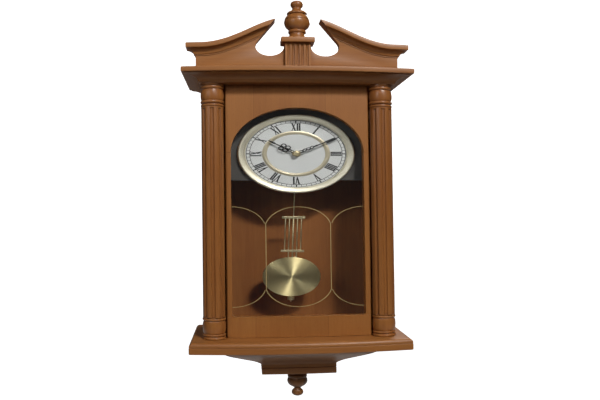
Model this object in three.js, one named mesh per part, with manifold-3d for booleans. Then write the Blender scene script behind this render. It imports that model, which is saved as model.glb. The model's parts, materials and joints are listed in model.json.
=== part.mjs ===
// Quartz pendulum wall clock: a glazed wooden case with a swan-neck pediment, turned columns, a hinged
// door, a battery movement with its dial and hands, and a gridiron pendulum.
// Millimetres. X to the right, Y into the wall (the wall plane is y = 0), Z up.
// z = 0 is the middle of the back panel, where the clock's wall face has its origin.
import * as THREE from 'three';
import { mergeVertices } from 'three/addons/utils/BufferGeometryUtils.js';
import Module from 'manifold-3d';

const wasm = await Module();
wasm.setup();

// ---- driving dimensions -------------------------------------------------------------------------
const GAP = 0.2; // glue-line or seating gap between neighbours that touch
const LOOSE = 0.3; // clearance round a screw, pin or pivot

const CASE_HALF_W = 127;
const CASE_DEPTH = 88;
const BOARD = 12; // thickness of the case sides, front frame and pediment boards
const BACK_T = 5;
const BASE_TOP = -263;
const BASE_BOTTOM = -284.5;
const CROWN_BOTTOM = 241;
const CROWN_TOP = 257.3;
const CORNICE_TOP = 267;

const DOOR_HALF_W = 96.3;
const DOOR_FRONT = -104;
const DOOR_SHUT_GAP = 0.6; // lets the hinge side of the door roll past the front frame
const DOOR_BACK = -CASE_DEPTH - DOOR_SHUT_GAP;
const DOOR_BOTTOM = -262.3;
const DOOR_TOP = 240.3;
const GLASS_HALF_W = 89.2; // visible opening, and the radius of its arch
const GLASS_BOTTOM = -222;
const REBATE = 3.5; // how far the glass reaches behind the frame's lip
const LIP_BACK = -98;
const GLASS_T = 3;
const ARC_STEPS = 24; // straight steps in the door's arch
const HINGE_X = -93.2;
const HINGE_Y = -101.2;
const HINGE_PIN_R = 1.4;

const COLUMN_X = 113;
const COLUMN_Y = -106;
const COLUMN_R = 15.8;
const SHAFT_R = 14.9;
const FLUTES = 8;

const PIN_IN_DOOR = 12;
const SCREW_R = 1.3;
const SCREW_HEAD_R = 3;
const PLATE_SCREW_X = 22;

const DIAL_Z = 105.5;
const BEZEL_R = 81;
const BEZEL_INNER_R = 69.5;
const DIAL_BOARD_FRONT = -75.8;
const DIAL_BOARD_T = 6;
const DIAL_T = 0.8;

const MOVEMENT_HALF_W = 28;
const MOVEMENT_BOTTOM = 42;
const MOVEMENT_TOP = 134;
const MOVEMENT_DEPTH = 20;

const HOUR_ANGLE = 305;
const MINUTE_ANGLE = 60;

const PENDULUM_Y = -60;
const PIVOT_Z = 82;
const PENDULUM_REST_TURN = THREE.MathUtils.degToRad(1.8);
const BOB_R = 40.5;
const BOB_DROP = 231.3; // pivot to bob centre
const GRID_PITCH = 5.6;
const GRID_ROD_R = 0.9;
const ROD_ENDS = 206; // pivot to the lower ends of the two rods beside the centre rod

const PEDIMENT_FRONT = -125;
const PEDIMENT_HALF_W = 133.5;
const SCROLL_PROJECTION = 12;
const SCROLL_DROP = 22.8;
const SCROLL_TIP = new THREE.Vector2(-29.3, 360.4);
const PLINTH_HALF_W = 16.6;
const PLINTH_FRONT = -131.2;
const PLINTH_BACK = -109.5;
const PLINTH_TOP = 315.7;
const FINIAL_Y = -121;
const CUTOUT_X = 36.3;
const CUTOUT_Z = 310.8;
const CUTOUT_R = 18.6;

// ---- materials ----------------------------------------------------------------------------------
function finish(color, roughness, metalness = 0) {
  return () => new THREE.MeshStandardMaterial({ color, roughness, metalness });
}

const wood = finish(0x9a6232, 0.45);
const backWood = finish(0x7c4a2a, 0.6);
const charcoal = finish(0x2e2b29, 0.7);
const brass = finish(0xc9a65a, 0.3, 1);
const steel = finish(0xb4b6b8, 0.35, 1);
const blackPlastic = finish(0x1b1b1c, 0.5);
const dialWhite = finish(0xe6e6e2, 0.6);
const blackMetal = finish(0x141414, 0.4, 0.4);
const batteryWrap = finish(0x3d5a48, 0.4);
const glass = () =>
  new THREE.MeshStandardMaterial({ color: 0xdfe8e6, roughness: 0.05, transparent: true, opacity: 0.3 });

// ---- geometry helpers ---------------------------------------------------------------------------
const clock = new THREE.Group();

/** Position-only geometry with shared vertices and its faces pointing out. */
function clean(geometry) {
  const bare = new THREE.BufferGeometry();
  bare.setAttribute('position', geometry.getAttribute('position'));
  if (geometry.index) bare.setIndex(geometry.index);
  const merged = mergeVertices(bare, 1e-4);
  const p = merged.getAttribute('position');
  const index = Array.from(merged.index.array);
  const corner = (k) => new THREE.Vector3().fromBufferAttribute(p, index[k]);
  const kept = [];
  let volume = 0;
  for (let k = 0; k < index.length; k += 3) {
    const [a, b, c] = index.slice(k, k + 3);
    if (a === b || b === c || c === a) continue;
    kept.push(a, b, c);
    volume += corner(k).dot(corner(k + 1).cross(corner(k + 2)));
  }
  if (volume < 0) kept.reverse();
  merged.setIndex(kept);
  return merged;
}

function toSolid(geometry) {
  const g = clean(geometry);
  return new wasm.Manifold(
    new wasm.Mesh({
      numProp: 3,
      vertProperties: new Float32Array(g.getAttribute('position').array),
      triVerts: new Uint32Array(g.index.array),
    }),
  );
}

function fromSolid(solid) {
  const mesh = solid.getMesh();
  const g = new THREE.BufferGeometry();
  g.setAttribute('position', new THREE.BufferAttribute(mesh.vertProperties, 3));
  g.setIndex(Array.from(mesh.triVerts));
  return g;
}

function cut(geometry, ...cutters) {
  return fromSolid(cutters.reduce((solid, c) => solid.subtract(toSolid(c)), toSolid(geometry)));
}

function join(geometry, ...others) {
  return fromSolid(others.reduce((solid, o) => solid.add(toSolid(o)), toSolid(geometry)));
}

function add(name, geometry, material, parent = clock) {
  const g = clean(geometry);
  g.computeVertexNormals();
  const mesh = new THREE.Mesh(g, material());
  mesh.name = name;
  parent.add(mesh);
  return mesh;
}

function box(x0, x1, y0, y1, z0, z1) {
  const g = new THREE.BoxGeometry(x1 - x0, y1 - y0, z1 - z0);
  return g.translate((x0 + x1) / 2, (y0 + y1) / 2, (z0 + z1) / 2);
}

/** A shape drawn in X and Z, as a board from yFront back to yBack. */
function board(shape, yFront, yBack, curveSegments = 12) {
  const g = new THREE.ExtrudeGeometry(shape, { depth: yBack - yFront, bevelEnabled: false, curveSegments });
  return g.rotateX(Math.PI / 2).translate(0, yBack, 0);
}

/** A turned piece about the world Z axis at (x, y), from [radius, z] pairs going up. */
function turned(profile, x, y, segments = 16) {
  const points = profile.map(([r, z]) => new THREE.Vector2(r, z));
  return new THREE.LatheGeometry(points, segments).rotateX(Math.PI / 2).translate(x, y, 0);
}

/** A round piece about a line parallel to Y at (x, z), from [radius, y] pairs. */
function spun(profile, x, z, segments = 32) {
  const points = profile.map(([r, y]) => new THREE.Vector2(r, y));
  return new THREE.LatheGeometry(points, segments).translate(x, 0, z);
}

function rodZ(radius, x, y, z0, z1, segments = 12) {
  return turned([[0, z0], [radius, z0], [radius, z1], [0, z1]], x, y, segments);
}

function rodY(radius, x, z, yFront, yBack, segments = 16) {
  return spun([[0, yFront], [radius, yFront], [radius, yBack], [0, yBack]], x, z, segments);
}

/** A stack of rectangles with their back edge on yBack: a moulding mitred round the front and both ends.
 *  levels are [half width, depth, z] going up. */
function mitred(levels, yBack = 0) {
  const vertices = levels.flatMap(([w, d, z]) => [
    [-w, -d, z], [w, -d, z], [w, yBack, z], [-w, yBack, z],
  ]);
  return ringStack(vertices, 4);
}

/** Closes a stack of equal rings of points with a flat cap at each end. */
function ringStack(vertices, ringSize) {
  const g = new THREE.BufferGeometry();
  const rings = vertices.length / ringSize;
  const index = [];
  for (let r = 0; r + 1 < rings; r++) {
    for (let k = 0; k < ringSize; k++) {
      const a = r * ringSize + k;
      const b = r * ringSize + ((k + 1) % ringSize);
      index.push(a, b, b + ringSize, a, b + ringSize, a + ringSize);
    }
  }
  const first = capTriangles(vertices.slice(0, ringSize));
  const last = capTriangles(vertices.slice(-ringSize));
  const top = vertices.length - ringSize;
  first.forEach(([a, b, c]) => index.push(a, c, b));
  last.forEach(([a, b, c]) => index.push(top + a, top + b, top + c));
  g.setAttribute('position', new THREE.Float32BufferAttribute(vertices.flat(), 3));
  g.setIndex(index);
  return g;
}

/** Triangles of one flat ring, wound the way the ring itself runs. */
function capTriangles(ring) {
  const points = ring.map((p) => new THREE.Vector3(...p));
  const normal = new THREE.Vector3();
  points.forEach((p, k) => normal.add(p.clone().cross(points[(k + 1) % points.length])));
  const u = new THREE.Vector3(0.31, 0.52, 0.79).cross(normal).normalize();
  const v = normal.clone().normalize().cross(u);
  return THREE.ShapeUtils.triangulateShape(points.map((p) => new THREE.Vector2(p.dot(u), p.dot(v))), []);
}

function rectangle(x0, x1, z0, z1) {
  return new THREE.Shape([
    new THREE.Vector2(x0, z0), new THREE.Vector2(x1, z0), new THREE.Vector2(x1, z1), new THREE.Vector2(x0, z1),
  ]);
}

/** [half width, depth, z] levels along a quarter-circle cove or bead between two corners of a moulding. */
function quarter([w0, d0, z0], [w1, d1, z1], widthFirst, steps = 5) {
  return Array.from({ length: steps + 1 }, (_, k) => {
    const t = (k / steps) * (Math.PI / 2);
    const across = widthFirst ? Math.sin(t) : 1 - Math.cos(t);
    const up = widthFirst ? 1 - Math.cos(t) : Math.sin(t);
    return [w0 + (w1 - w0) * across, d0 + (d1 - d0) * across, z0 + (z1 - z0) * up];
  });
}

// ---- case ---------------------------------------------------------------------------------------
const SIDE_INNER = CASE_HALF_W - BOARD;
const FRAME_BACK = -CASE_DEPTH + BOARD;
const FRAME_OPENING = { halfW: 91, bottom: -232, top: 203 };
const RAIL_BOTTOM = 195;
const RAIL_T = 14;
const KEYHOLE_Z = 216;
const MAGNET = { x: 78, z: -247, r: 4, t: 5 };
const DIAL_BOARD = { halfW: 104, bottom: 51, top: 207 };
const DIAL_SCREWS = [[-97, 190], [97, 190], [-97, 66], [97, 66]];

function caseBoards() {
  const z0 = BASE_TOP + GAP;
  const z1 = CROWN_BOTTOM - GAP;
  const inner = SIDE_INNER - GAP;
  add('back_panel', box(-inner, inner, -BACK_T, 0, z0, RAIL_BOTTOM - GAP), backWood);
  add('side_panel_left', box(-CASE_HALF_W, -SIDE_INNER, FRAME_BACK + GAP, 0, z0, z1), wood);
  add('side_panel_right', box(SIDE_INNER, CASE_HALF_W, FRAME_BACK + GAP, 0, z0, z1), wood);
  const frame = rectangle(-CASE_HALF_W, CASE_HALF_W, z0, z1);
  const { halfW, bottom, top } = FRAME_OPENING;
  frame.holes.push(rectangle(-halfW, halfW, bottom, top));
  const magnetPocket = rodY(MAGNET.r + LOOSE, MAGNET.x, MAGNET.z, -CASE_DEPTH - 1, -CASE_DEPTH + MAGNET.t + LOOSE);
  const screwHoles = DIAL_SCREWS.map(([x, z]) => rodY(1.8, x, z, FRAME_BACK - 9, FRAME_BACK + 1, 12));
  add('front_frame', cut(board(frame, -CASE_DEPTH, FRAME_BACK), magnetPocket, ...screwHoles), wood);
}

/** A pan-head screw along Y whose head stands on the face at yHead, towards +Y (out = 1) or -Y (out = -1). */
function screwY(name, x, z, yHead, out, length) {
  const profile = [
    [0, yHead - out * length],
    [SCREW_R, yHead - out * length],
    [SCREW_R, yHead + out * GAP],
    [SCREW_HEAD_R, yHead + out * GAP],
    [SCREW_HEAD_R * 0.8, yHead + out * 1.3],
    [0, yHead + out * 1.3],
  ];
  add(name, spun(profile, x, z, 12), steel);
}

function hangingRail() {
  const inner = SIDE_INNER - GAP;
  const rail = box(-inner, inner, -RAIL_T, 0, RAIL_BOTTOM, CROWN_BOTTOM - GAP);
  const recess = box(-30, 30, -3.2, 1, KEYHOLE_Z - 9, KEYHOLE_Z + 9);
  const pocket = box(-7, 7, -12, -3, KEYHOLE_Z - 8.5, KEYHOLE_Z + 8.5);
  const screwHoles = [-1, 1].map((s) => rodY(SCREW_R + LOOSE, s * PLATE_SCREW_X, KEYHOLE_Z, -13, 0, 12));
  add('hanging_rail', cut(rail, recess, pocket, ...screwHoles), wood);

  const slotHalf = 2.2;
  const entryR = 4.8;
  const entryZ = KEYHOLE_Z - 2.5;
  const shoulder = Math.asin(slotHalf / entryR);
  const keyhole = new THREE.Path();
  keyhole.absarc(0, entryZ, entryR, Math.PI / 2 + shoulder, 2.5 * Math.PI - shoulder, false);
  keyhole.absarc(0, KEYHOLE_Z + 5, slotHalf, 0, Math.PI, false);
  const outline = rectangle(-29.7, 29.7, KEYHOLE_Z - 8.7, KEYHOLE_Z + 8.7);
  outline.holes.push(keyhole);
  const plate = board(outline, -3, -1.5, 8);
  const plateHoles = [-1, 1].map((s) => rodY(SCREW_R + LOOSE, s * PLATE_SCREW_X, KEYHOLE_Z, -4, 0, 12));
  add('keyhole_plate', cut(plate, ...plateHoles), steel);
  screwY('keyhole_plate_screw_left', -PLATE_SCREW_X, KEYHOLE_Z, -1.5, 1, 10);
  screwY('keyhole_plate_screw_right', PLATE_SCREW_X, KEYHOLE_Z, -1.5, 1, 10);
}

function baseAndCrown() {
  const w = 140.5;
  const d = 139;
  add('base_moulding', mitred([
    [w + 4, d + 4, BASE_BOTTOM], [w + 4, d + 4, -272.4], [w + 3.4, d + 3.4, -271.8],
    ...quarter([w + 3.6, d + 3.6, -268.6], [w - 0.5, d - 0.5, BASE_TOP], false, 6),
  ]), wood);
  add('crown_moulding', mitred([
    [129.5, 122.5, CROWN_BOTTOM], [129.5, 122.5, CROWN_BOTTOM + 1.6],
    ...quarter([130.5, 123.5, CROWN_BOTTOM + 2.2], [146, 139, CROWN_TOP - 2], false, 6),
    [147.5, 141, CROWN_TOP - 1.6], [147.5, 141, CROWN_TOP - GAP],
  ]), wood);
  add('cornice_board', mitred([
    [150.6, 144.4, CROWN_TOP], [151.4, 145.2, CROWN_TOP + 1], [151.4, 145.2, CORNICE_TOP - 1.4],
    [150.2, 144, CORNICE_TOP],
  ]), wood);
}

function column(side) {
  const x = side * COLUMN_X;
  const R = COLUMN_R;
  const profile = [
    [0, BASE_TOP + GAP], [R - 1.4, BASE_TOP + GAP], [R, -260.6], [R - 1.2, -258], [R - 2, -256.6], [R - 0.3, -254.9],
    [R - 0.3, -253.6], [R - 1.8, -252], [R - 0.8, -248.5], [R - 0.4, -239], [R - 1, -229.5], [R - 1.9, -226.3],
    [R - 0.3, -224.5], [R - 0.3, -222.6], [R - 1.8, -221.2], [SHAFT_R, -218.5], [SHAFT_R, 197], [R - 1.8, 198],
    [R - 0.1, 199.5], [R - 1.2, 200.9], [R - 0.1, 202.4], [R - 1.8, 204.4], [R - 0.8, 208.5], [R - 0.4, 217],
    [R - 0.9, 226.5], [R - 1.9, 230.2], [R - 0.2, 232], [R, 234.6], [R - 1.6, 236.4], [R, 238.6],
    [R, CROWN_BOTTOM - GAP], [0, CROWN_BOTTOM - GAP],
  ];
  const body = turned(profile, x, COLUMN_Y);
  const fluteR = 3;
  const flute = [[0, -221.3], [2.1, -220.4], [fluteR, -218.3], [fluteR, 197.3], [0, 197.3]];
  const reach = SHAFT_R + 1;
  const flutes = Array.from({ length: FLUTES }, (_, k) => {
    const turn = (k / FLUTES) * 2 * Math.PI;
    return turned(flute, x + reach * Math.cos(turn), COLUMN_Y + reach * Math.sin(turn), 12);
  });
  add(side < 0 ? 'column_left' : 'column_right', cut(body, ...flutes), wood);
}

function lowerBracket() {
  const top = BASE_BOTTOM - GAP;
  const blockTop = -322.5;
  add('bracket_corbel', mitred([
    [50.4, 86, blockTop + GAP], [51, 86.6, -321], [54.4, 89.2, -317.4], [62, 94.6, -312], [77, 105, -304.4],
    [92.8, 116, -296.2], [100, 121.6, -290.8], [103, 124, -288], [103.5, 124.5, -286.4], [103.5, 124.5, top],
  ]), wood);
  add('bracket_block', mitred([
    [49.8, 85.3, -342], [50.6, 86.1, -341.2], [50.6, 86.1, -329.6], [49.4, 84.9, -328.9], [50.6, 86.1, -328.2],
    [50.6, 86.1, blockTop],
  ]), wood);
  const profile = [
    [0, -401], [4.6, -400.2], [7.6, -397], [8.3, -393.2], [7.2, -389], [4.9, -385.8], [5, -383.4], [8.4, -380.6],
    [12.2, -376.4], [14.2, -370.8], [13.9, -365.6], [12.6, -362.6], [13.4, -360.6], [13.4, -356.6], [11.4, -354.6],
    [10.8, -350], [12.6, -345.6], [13, -342 - GAP], [0, -342 - GAP],
  ];
  add('bottom_finial', turned(profile, 0, -45), wood);
}

// ---- pediment -----------------------------------------------------------------------------------
/** The swan-neck's top edge from the outer end to the tip, for one side (-1 left, 1 right). */
function scrollCurve(side, steps = 14) {
  const flatEnd = new THREE.Vector2(-128, 316);
  const bezier = new THREE.CubicBezierCurve(
    flatEnd, new THREE.Vector2(-88, 314.4), new THREE.Vector2(-58, 351.4), SCROLL_TIP,
  );
  return [new THREE.Vector2(-PEDIMENT_HALF_W, flatEnd.y), ...bezier.getPoints(steps)]
    .map((p) => new THREE.Vector2(-side * p.x, p.y));
}

/** Where the line from the swan-neck's tip meets the round cut-out below it, as an angle on that circle. */
function throatAngle() {
  const away = SCROLL_TIP.clone().sub(new THREE.Vector2(-CUTOUT_X, CUTOUT_Z));
  return away.angle() + Math.acos(CUTOUT_R / away.length());
}

function onCutout(angle, r = CUTOUT_R) {
  return new THREE.Vector2(-CUTOUT_X + r * Math.cos(angle), CUTOUT_Z + r * Math.sin(angle));
}

function tympanum(side) {
  const name = side < 0 ? 'tympanum_left' : 'tympanum_right';
  const edge = scrollCurve(-1);
  const innerX = -(PLINTH_HALF_W + GAP);
  const start = throatAngle();
  const arcSteps = 14;
  const arc = Array.from({ length: arcSteps + 1 }, (_, k) => onCutout(start + ((2 * Math.PI - start) * k) / arcSteps));
  const outline = [
    new THREE.Vector2(-PEDIMENT_HALF_W + GAP, CORNICE_TOP + GAP),
    new THREE.Vector2(-PEDIMENT_HALF_W + GAP, edge[0].y),
    ...edge.slice(1), ...arc,
    new THREE.Vector2(innerX, CUTOUT_Z),
    new THREE.Vector2(innerX, CORNICE_TOP + GAP),
  ].map((p) => new THREE.Vector2(-side * p.x, p.y));
  add(name, board(new THREE.Shape(outline), PEDIMENT_FRONT + GAP, PEDIMENT_FRONT + BOARD), wood);
}

/** The crown moulding that follows the swan-neck's edge and returns round its outer end. */
function scrollMoulding(side) {
  const P = SCROLL_PROJECTION;
  const profile = [
    [0, 0], [P - 0.6, 0], [P, 0.8], [P, 9.2], [P - 0.8, 9.8], [P - 1.6, 10], [P - 4.4, 11.2], [P - 7.6, 13.8],
    [P - 9.6, 17.2], [P - 10.2, 20.2], [0.9, 20.6], [0.9, SCROLL_DROP], [0, SCROLL_DROP],
  ];
  const edge = scrollCurve(side).reverse();
  const outer = edge[edge.length - 1];
  const stations = [
    ...edge.slice(0, -1).map((p) => ({ x: p.x, y: PEDIMENT_FRONT, z: p.y, outX: 0, outY: -1 })),
    { x: outer.x, y: PEDIMENT_FRONT, z: outer.y, outX: side, outY: -1 },
    { x: outer.x, y: PEDIMENT_FRONT + BOARD, z: outer.y, outX: side, outY: 0 },
  ];
  const vertices = stations.flatMap((s) =>
    profile.map(([d, h]) => [s.x + s.outX * d, s.y + s.outY * d, s.z - h]));
  const foot = onCutout(throatAngle());
  const beyond = foot.clone().sub(SCROLL_TIP).multiplyScalar(0.6).add(foot);
  const above = SCROLL_TIP.clone().sub(foot).multiplyScalar(0.3).add(SCROLL_TIP);
  const inner = [above, beyond, new THREE.Vector2(0, beyond.y), new THREE.Vector2(0, above.y)];
  const endCut = new THREE.Shape(inner.map((p) => new THREE.Vector2(-side * p.x, p.y)));
  const moulding = cut(ringStack(vertices, profile.length), board(endCut, PEDIMENT_FRONT - P - 1, PEDIMENT_FRONT + BOARD + 1));
  add(side < 0 ? 'scroll_moulding_left' : 'scroll_moulding_right', moulding, wood);
}

function plinthAndFinial() {
  const half = PLINTH_HALF_W;
  const block = box(-half, half, PLINTH_FRONT, PLINTH_BACK, CORNICE_TOP + GAP, PLINTH_TOP - GAP);
  const fluteR = 2.1;
  const flutes = [-2, -1, 0, 1, 2].map((k) =>
    new THREE.CapsuleGeometry(fluteR, 40.4, 2, 8)
      .rotateX(Math.PI / 2)
      .translate(k * 6, PLINTH_FRONT - 0.5, (CORNICE_TOP + PLINTH_TOP) / 2 - 1));
  add('plinth', cut(block, ...flutes), wood);
  const capTop = PLINTH_TOP + 10.1;
  const cap = mitred([
    [21, 27.2, PLINTH_TOP], [21.8, 28, PLINTH_TOP + 0.8], [21.8, 28, capTop - 0.9], [20.8, 27, capTop],
  ]).translate(0, PLINTH_BACK + 0.5, 0);
  add('plinth_cap', cap, wood);
  const foot = capTop + GAP;
  const profile = [
    [0, foot], [12.3, foot], [12.1, 328], [10.9, 331.6], [10.2, 334.8], [10.4, 337], [11.6, 338.2], [11.9, 340.2],
    [11.2, 342.4], [10.5, 343.6], [13, 346.4], [15.6, 350.4], [17, 356.6], [17.1, 360.4], [16.6, 362.4], [16, 363],
    [16.4, 363.8], [15, 368.4], [12.4, 372.6], [11.9, 373.8], [13.2, 375.2], [13.3, 377], [11.4, 379.4], [8.2, 382],
    [6.2, 384.8], [6.2, 387.2], [7.8, 390.4], [8.4, 393.8], [7.8, 397.6], [5.4, 400.2], [0, 401.1],
  ];
  add('top_finial', turned(profile, 0, FINIAL_Y), wood);
}

// ---- door ---------------------------------------------------------------------------------------
/** The glazed opening, or a copy grown outwards by `grow`. */
function openingOutline(grow) {
  const w = GLASS_HALF_W + grow;
  const z0 = GLASS_BOTTOM - grow;
  const corner = 5 + grow;
  const path = new THREE.Shape();
  path.moveTo(-w + corner, z0);
  path.lineTo(w - corner, z0);
  path.absarc(w - corner, z0 + corner, corner, -Math.PI / 2, 0, false);
  path.absarc(0, DIAL_Z, w, 0, Math.PI, false);
  path.absarc(-w + corner, z0 + corner, corner, Math.PI, 1.5 * Math.PI, false);
  return path;
}

/** The part of the door between z0 and z1 (and x0 and x1), rebated for the glass. */
function doorPiece(name, x0, x1, z0, z1) {
  const arris = 1.6;
  const solid = box(x0, x1, DOOR_FRONT, DOOR_BACK, z0, z1);
  const window = board(openingOutline(0), DOOR_FRONT - 1, DOOR_BACK + 1, ARC_STEPS);
  const rebate = board(openingOutline(REBATE), LIP_BACK, DOOR_BACK + 1, ARC_STEPS);
  const roundedEdges = [-1, 1].map((s) => {
    const corner = new THREE.BoxGeometry(arris * 2, arris * 2, DOOR_TOP - DOOR_BOTTOM + 2).rotateZ(Math.PI / 4);
    return corner.translate(s * (DOOR_HALF_W + 0.5), DOOR_FRONT - 0.5, (DOOR_TOP + DOOR_BOTTOM) / 2);
  });
  const pinHoles = [
    rodZ(HINGE_PIN_R + 0.1, HINGE_X, HINGE_Y, DOOR_BOTTOM - 1, DOOR_BOTTOM + PIN_IN_DOOR + LOOSE),
    rodZ(HINGE_PIN_R + 0.1, HINGE_X, HINGE_Y, DOOR_TOP - PIN_IN_DOOR - LOOSE, DOOR_TOP + 1),
  ];
  const strikeSeat = rodY(5 + LOOSE, MAGNET.x, MAGNET.z, DOOR_BACK - 1.2, DOOR_BACK + 1);
  add(name, cut(solid, window, rebate, ...roundedEdges, ...pinHoles, strikeSeat), wood);
}

function door() {
  const w = DOOR_HALF_W;
  const split = GLASS_HALF_W;
  doorPiece('door_top_rail', -w, w, DIAL_Z + GAP / 2, DOOR_TOP);
  doorPiece('door_bottom_rail', -w, w, DOOR_BOTTOM, GLASS_BOTTOM - GAP / 2);
  doorPiece('door_stile_left', -w, -split + 8, GLASS_BOTTOM + GAP / 2, DIAL_Z - GAP / 2);
  doorPiece('door_stile_right', split - 8, w, GLASS_BOTTOM + GAP / 2, DIAL_Z - GAP / 2);
  const glassBack = LIP_BACK + GAP + GLASS_T;
  add('door_glass', board(openingOutline(REBATE - 0.4), LIP_BACK + GAP, glassBack, ARC_STEPS), glass);
  const bead = openingOutline(REBATE - 0.4);
  bead.holes.push(openingOutline(0.6));
  add('glass_retainer', board(bead, glassBack + GAP, DOOR_BACK - 1, ARC_STEPS), wood);
  add('door_strike_plate', rodY(5, MAGNET.x, MAGNET.z, DOOR_BACK - 1, DOOR_BACK - 0.1), steel);
  add('door_magnet', rodY(MAGNET.r, MAGNET.x, MAGNET.z, -CASE_DEPTH, -CASE_DEPTH + MAGNET.t), steel);
}

function hingePins() {
  const pin = (z0, z1) => rodZ(HINGE_PIN_R, HINGE_X, HINGE_Y, z0, z1);
  add('hinge_pin_bottom', pin(BASE_TOP + GAP, DOOR_BOTTOM + PIN_IN_DOOR), brass);
  add('hinge_pin_top', pin(DOOR_TOP - PIN_IN_DOOR, CROWN_BOTTOM - GAP), brass);
}

// ---- dial and movement --------------------------------------------------------------------------
const DIAL_FRONT = DIAL_BOARD_FRONT - GAP - DIAL_T;
const MOVEMENT_FRONT = DIAL_BOARD_FRONT + DIAL_BOARD_T + GAP;
const MOVEMENT_BACK = MOVEMENT_FRONT + MOVEMENT_DEPTH;
const BUSH_R = 4;
const PIPE_R = 2.5;
const ARBOR_R = 1.2;
const BATTERY = { r: 7, halfL: 24.5, z: 121.5 };

function disc(rOuter, rInner, yFront, yBack, segments = 36) {
  const profile = [[rInner, yFront], [rOuter, yFront], [rOuter, yBack], [rInner, yBack], [rInner, yFront]];
  return spun(profile, 0, DIAL_Z, segments);
}

function dial() {
  const back = DIAL_BOARD_FRONT + DIAL_BOARD_T;
  const shape = rectangle(-DIAL_BOARD.halfW, DIAL_BOARD.halfW, DIAL_BOARD.bottom, DIAL_BOARD.top);
  const holes = [rodY(BUSH_R + LOOSE, 0, DIAL_Z, DIAL_BOARD_FRONT - 1, back + 1)];
  DIAL_SCREWS.forEach(([x, z]) => holes.push(rodY(SCREW_R + LOOSE, x, z, DIAL_BOARD_FRONT - 1, back + 1, 12)));
  add('dial_board', cut(board(shape, DIAL_BOARD_FRONT, back), ...holes), charcoal);
  DIAL_SCREWS.forEach(([x, z], k) => screwY(`dial_board_screw_${k + 1}`, x, z, back, 1, 13));
  add('dial_plate', disc(BEZEL_INNER_R + 4, BUSH_R + LOOSE, DIAL_FRONT, DIAL_FRONT + DIAL_T), dialWhite);
  add('chapter_ring', disc(46.8, 40.2, DIAL_FRONT - GAP - 0.8, DIAL_FRONT - GAP), brass);
  const r = BEZEL_R;
  const foot = DIAL_BOARD_FRONT - GAP;
  const front = DIAL_FRONT - GAP;
  add('dial_bezel', spun([
    [BEZEL_INNER_R, front], [BEZEL_INNER_R, front - 1.6], [71.5, front - 3.4], [74.2, front - 6.6],
    [76.8, front - 8.8], [79, front - 8.9], [80.6, front - 7.4], [r, front - 4.6], [r, foot], [r - 5, foot],
    [r - 5, front], [BEZEL_INNER_R, front],
  ], 0, DIAL_Z, 36), brass);
}

function movement() {
  const y0 = MOVEMENT_FRONT;
  const y1 = MOVEMENT_BACK;
  const w = MOVEMENT_HALF_W;
  const housing = box(-w, w, y0, y1, MOVEMENT_BOTTOM, MOVEMENT_TOP);
  const armBay = box(-11, 11, PENDULUM_Y - 5, y1 + 1, MOVEMENT_BOTTOM - 1, PIVOT_Z + 9);
  const batteryBay = box(-w + 2, w - 2, y1 - 16.5, y1 + 1, BATTERY.z - 8, BATTERY.z + 8);
  const knobWell = rodY(9.5, 0, DIAL_Z, y1 - 6, y1 + 1, 24);
  const bore = rodY(PIPE_R + LOOSE, 0, DIAL_Z, y0 - 1, y1 + 1, 16);
  const bushSeat = rodY(BUSH_R + LOOSE, 0, DIAL_Z, y0 - 1, y0 + 4, 16);
  const pinHole = rodY(1, 0, PIVOT_Z, y0 - 1, PENDULUM_Y, 12);
  add('movement_case', cut(housing, armBay, batteryBay, knobWell, bore, bushSeat, pinHole), blackPlastic);
  add('movement_bush', disc(BUSH_R, PIPE_R + LOOSE, DIAL_FRONT - 4.2, y0 + 3.8, 16), brass);
  const hexagon = rodY(6.4, 0, DIAL_Z, DIAL_FRONT - 2.6, DIAL_FRONT - GAP, 6);
  add('bush_nut', cut(hexagon, rodY(BUSH_R + GAP, 0, DIAL_Z, DIAL_FRONT - 3, DIAL_FRONT, 16)), brass);
  add('pendulum_pivot_pin', rodY(0.9, 0, PIVOT_Z, y0 + 0.5, y1 - 0.5, 12), steel);

  const { r, halfL, z } = BATTERY;
  const cell = new THREE.LatheGeometry([
    [0, -halfL], [4, -halfL], [r - 0.6, -halfL], [r, -halfL + 0.6], [r, halfL - 1.8], [r - 0.8, halfL - 1],
    [2.7, halfL - 1], [2.7, halfL], [0, halfL],
  ].map(([a, b]) => new THREE.Vector2(a, b)), 20).rotateZ(-Math.PI / 2).translate(0, y1 - 8.4, z);
  add('battery', cell, batteryWrap);
  add('battery_contact_negative', box(-w + 2.2, -w + 2.6, y1 - 13, y1 - 3, z - 5, z + 5), steel);
  add('battery_contact_positive', box(w - 2.6, w - 2.2, y1 - 13, y1 - 3, z - 5, z + 5), steel);
}

/** One hand: an outline in its own plane pointing up, turned clockwise by `degrees` about the dial centre. */
function handBlade(outline, yFront, yBack, boreR, degrees) {
  outline.holes.push(new THREE.Path().absarc(0, 0, boreR, 0, 2 * Math.PI, true));
  return board(outline, yFront, yBack, 6)
    .rotateY(THREE.MathUtils.degToRad(degrees))
    .translate(0, 0, DIAL_Z);
}

/** A serpentine hand of half-width w at the root: round boss, waisted stem, pierced leaf and fine point. */
function handOutline(length, bossR, stem, leafFrom, leafTo, leafW) {
  const shape = new THREE.Shape();
  const start = Math.asin(stem / bossR);
  shape.absarc(0, 0, bossR, Math.PI / 2 + start, 2.5 * Math.PI - start, false);
  shape.lineTo(stem, leafFrom);
  shape.quadraticCurveTo(leafW, leafFrom + (leafTo - leafFrom) * 0.2, leafW, (leafFrom + leafTo) / 2);
  shape.quadraticCurveTo(leafW * 0.8, leafTo, stem, leafTo + 2);
  shape.lineTo(0.25, length);
  shape.lineTo(-0.25, length);
  shape.lineTo(-stem, leafTo + 2);
  shape.quadraticCurveTo(-leafW * 0.8, leafTo, -leafW, (leafFrom + leafTo) / 2);
  shape.quadraticCurveTo(-leafW, leafFrom + (leafTo - leafFrom) * 0.2, -stem, leafFrom);
  return shape;
}

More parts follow.
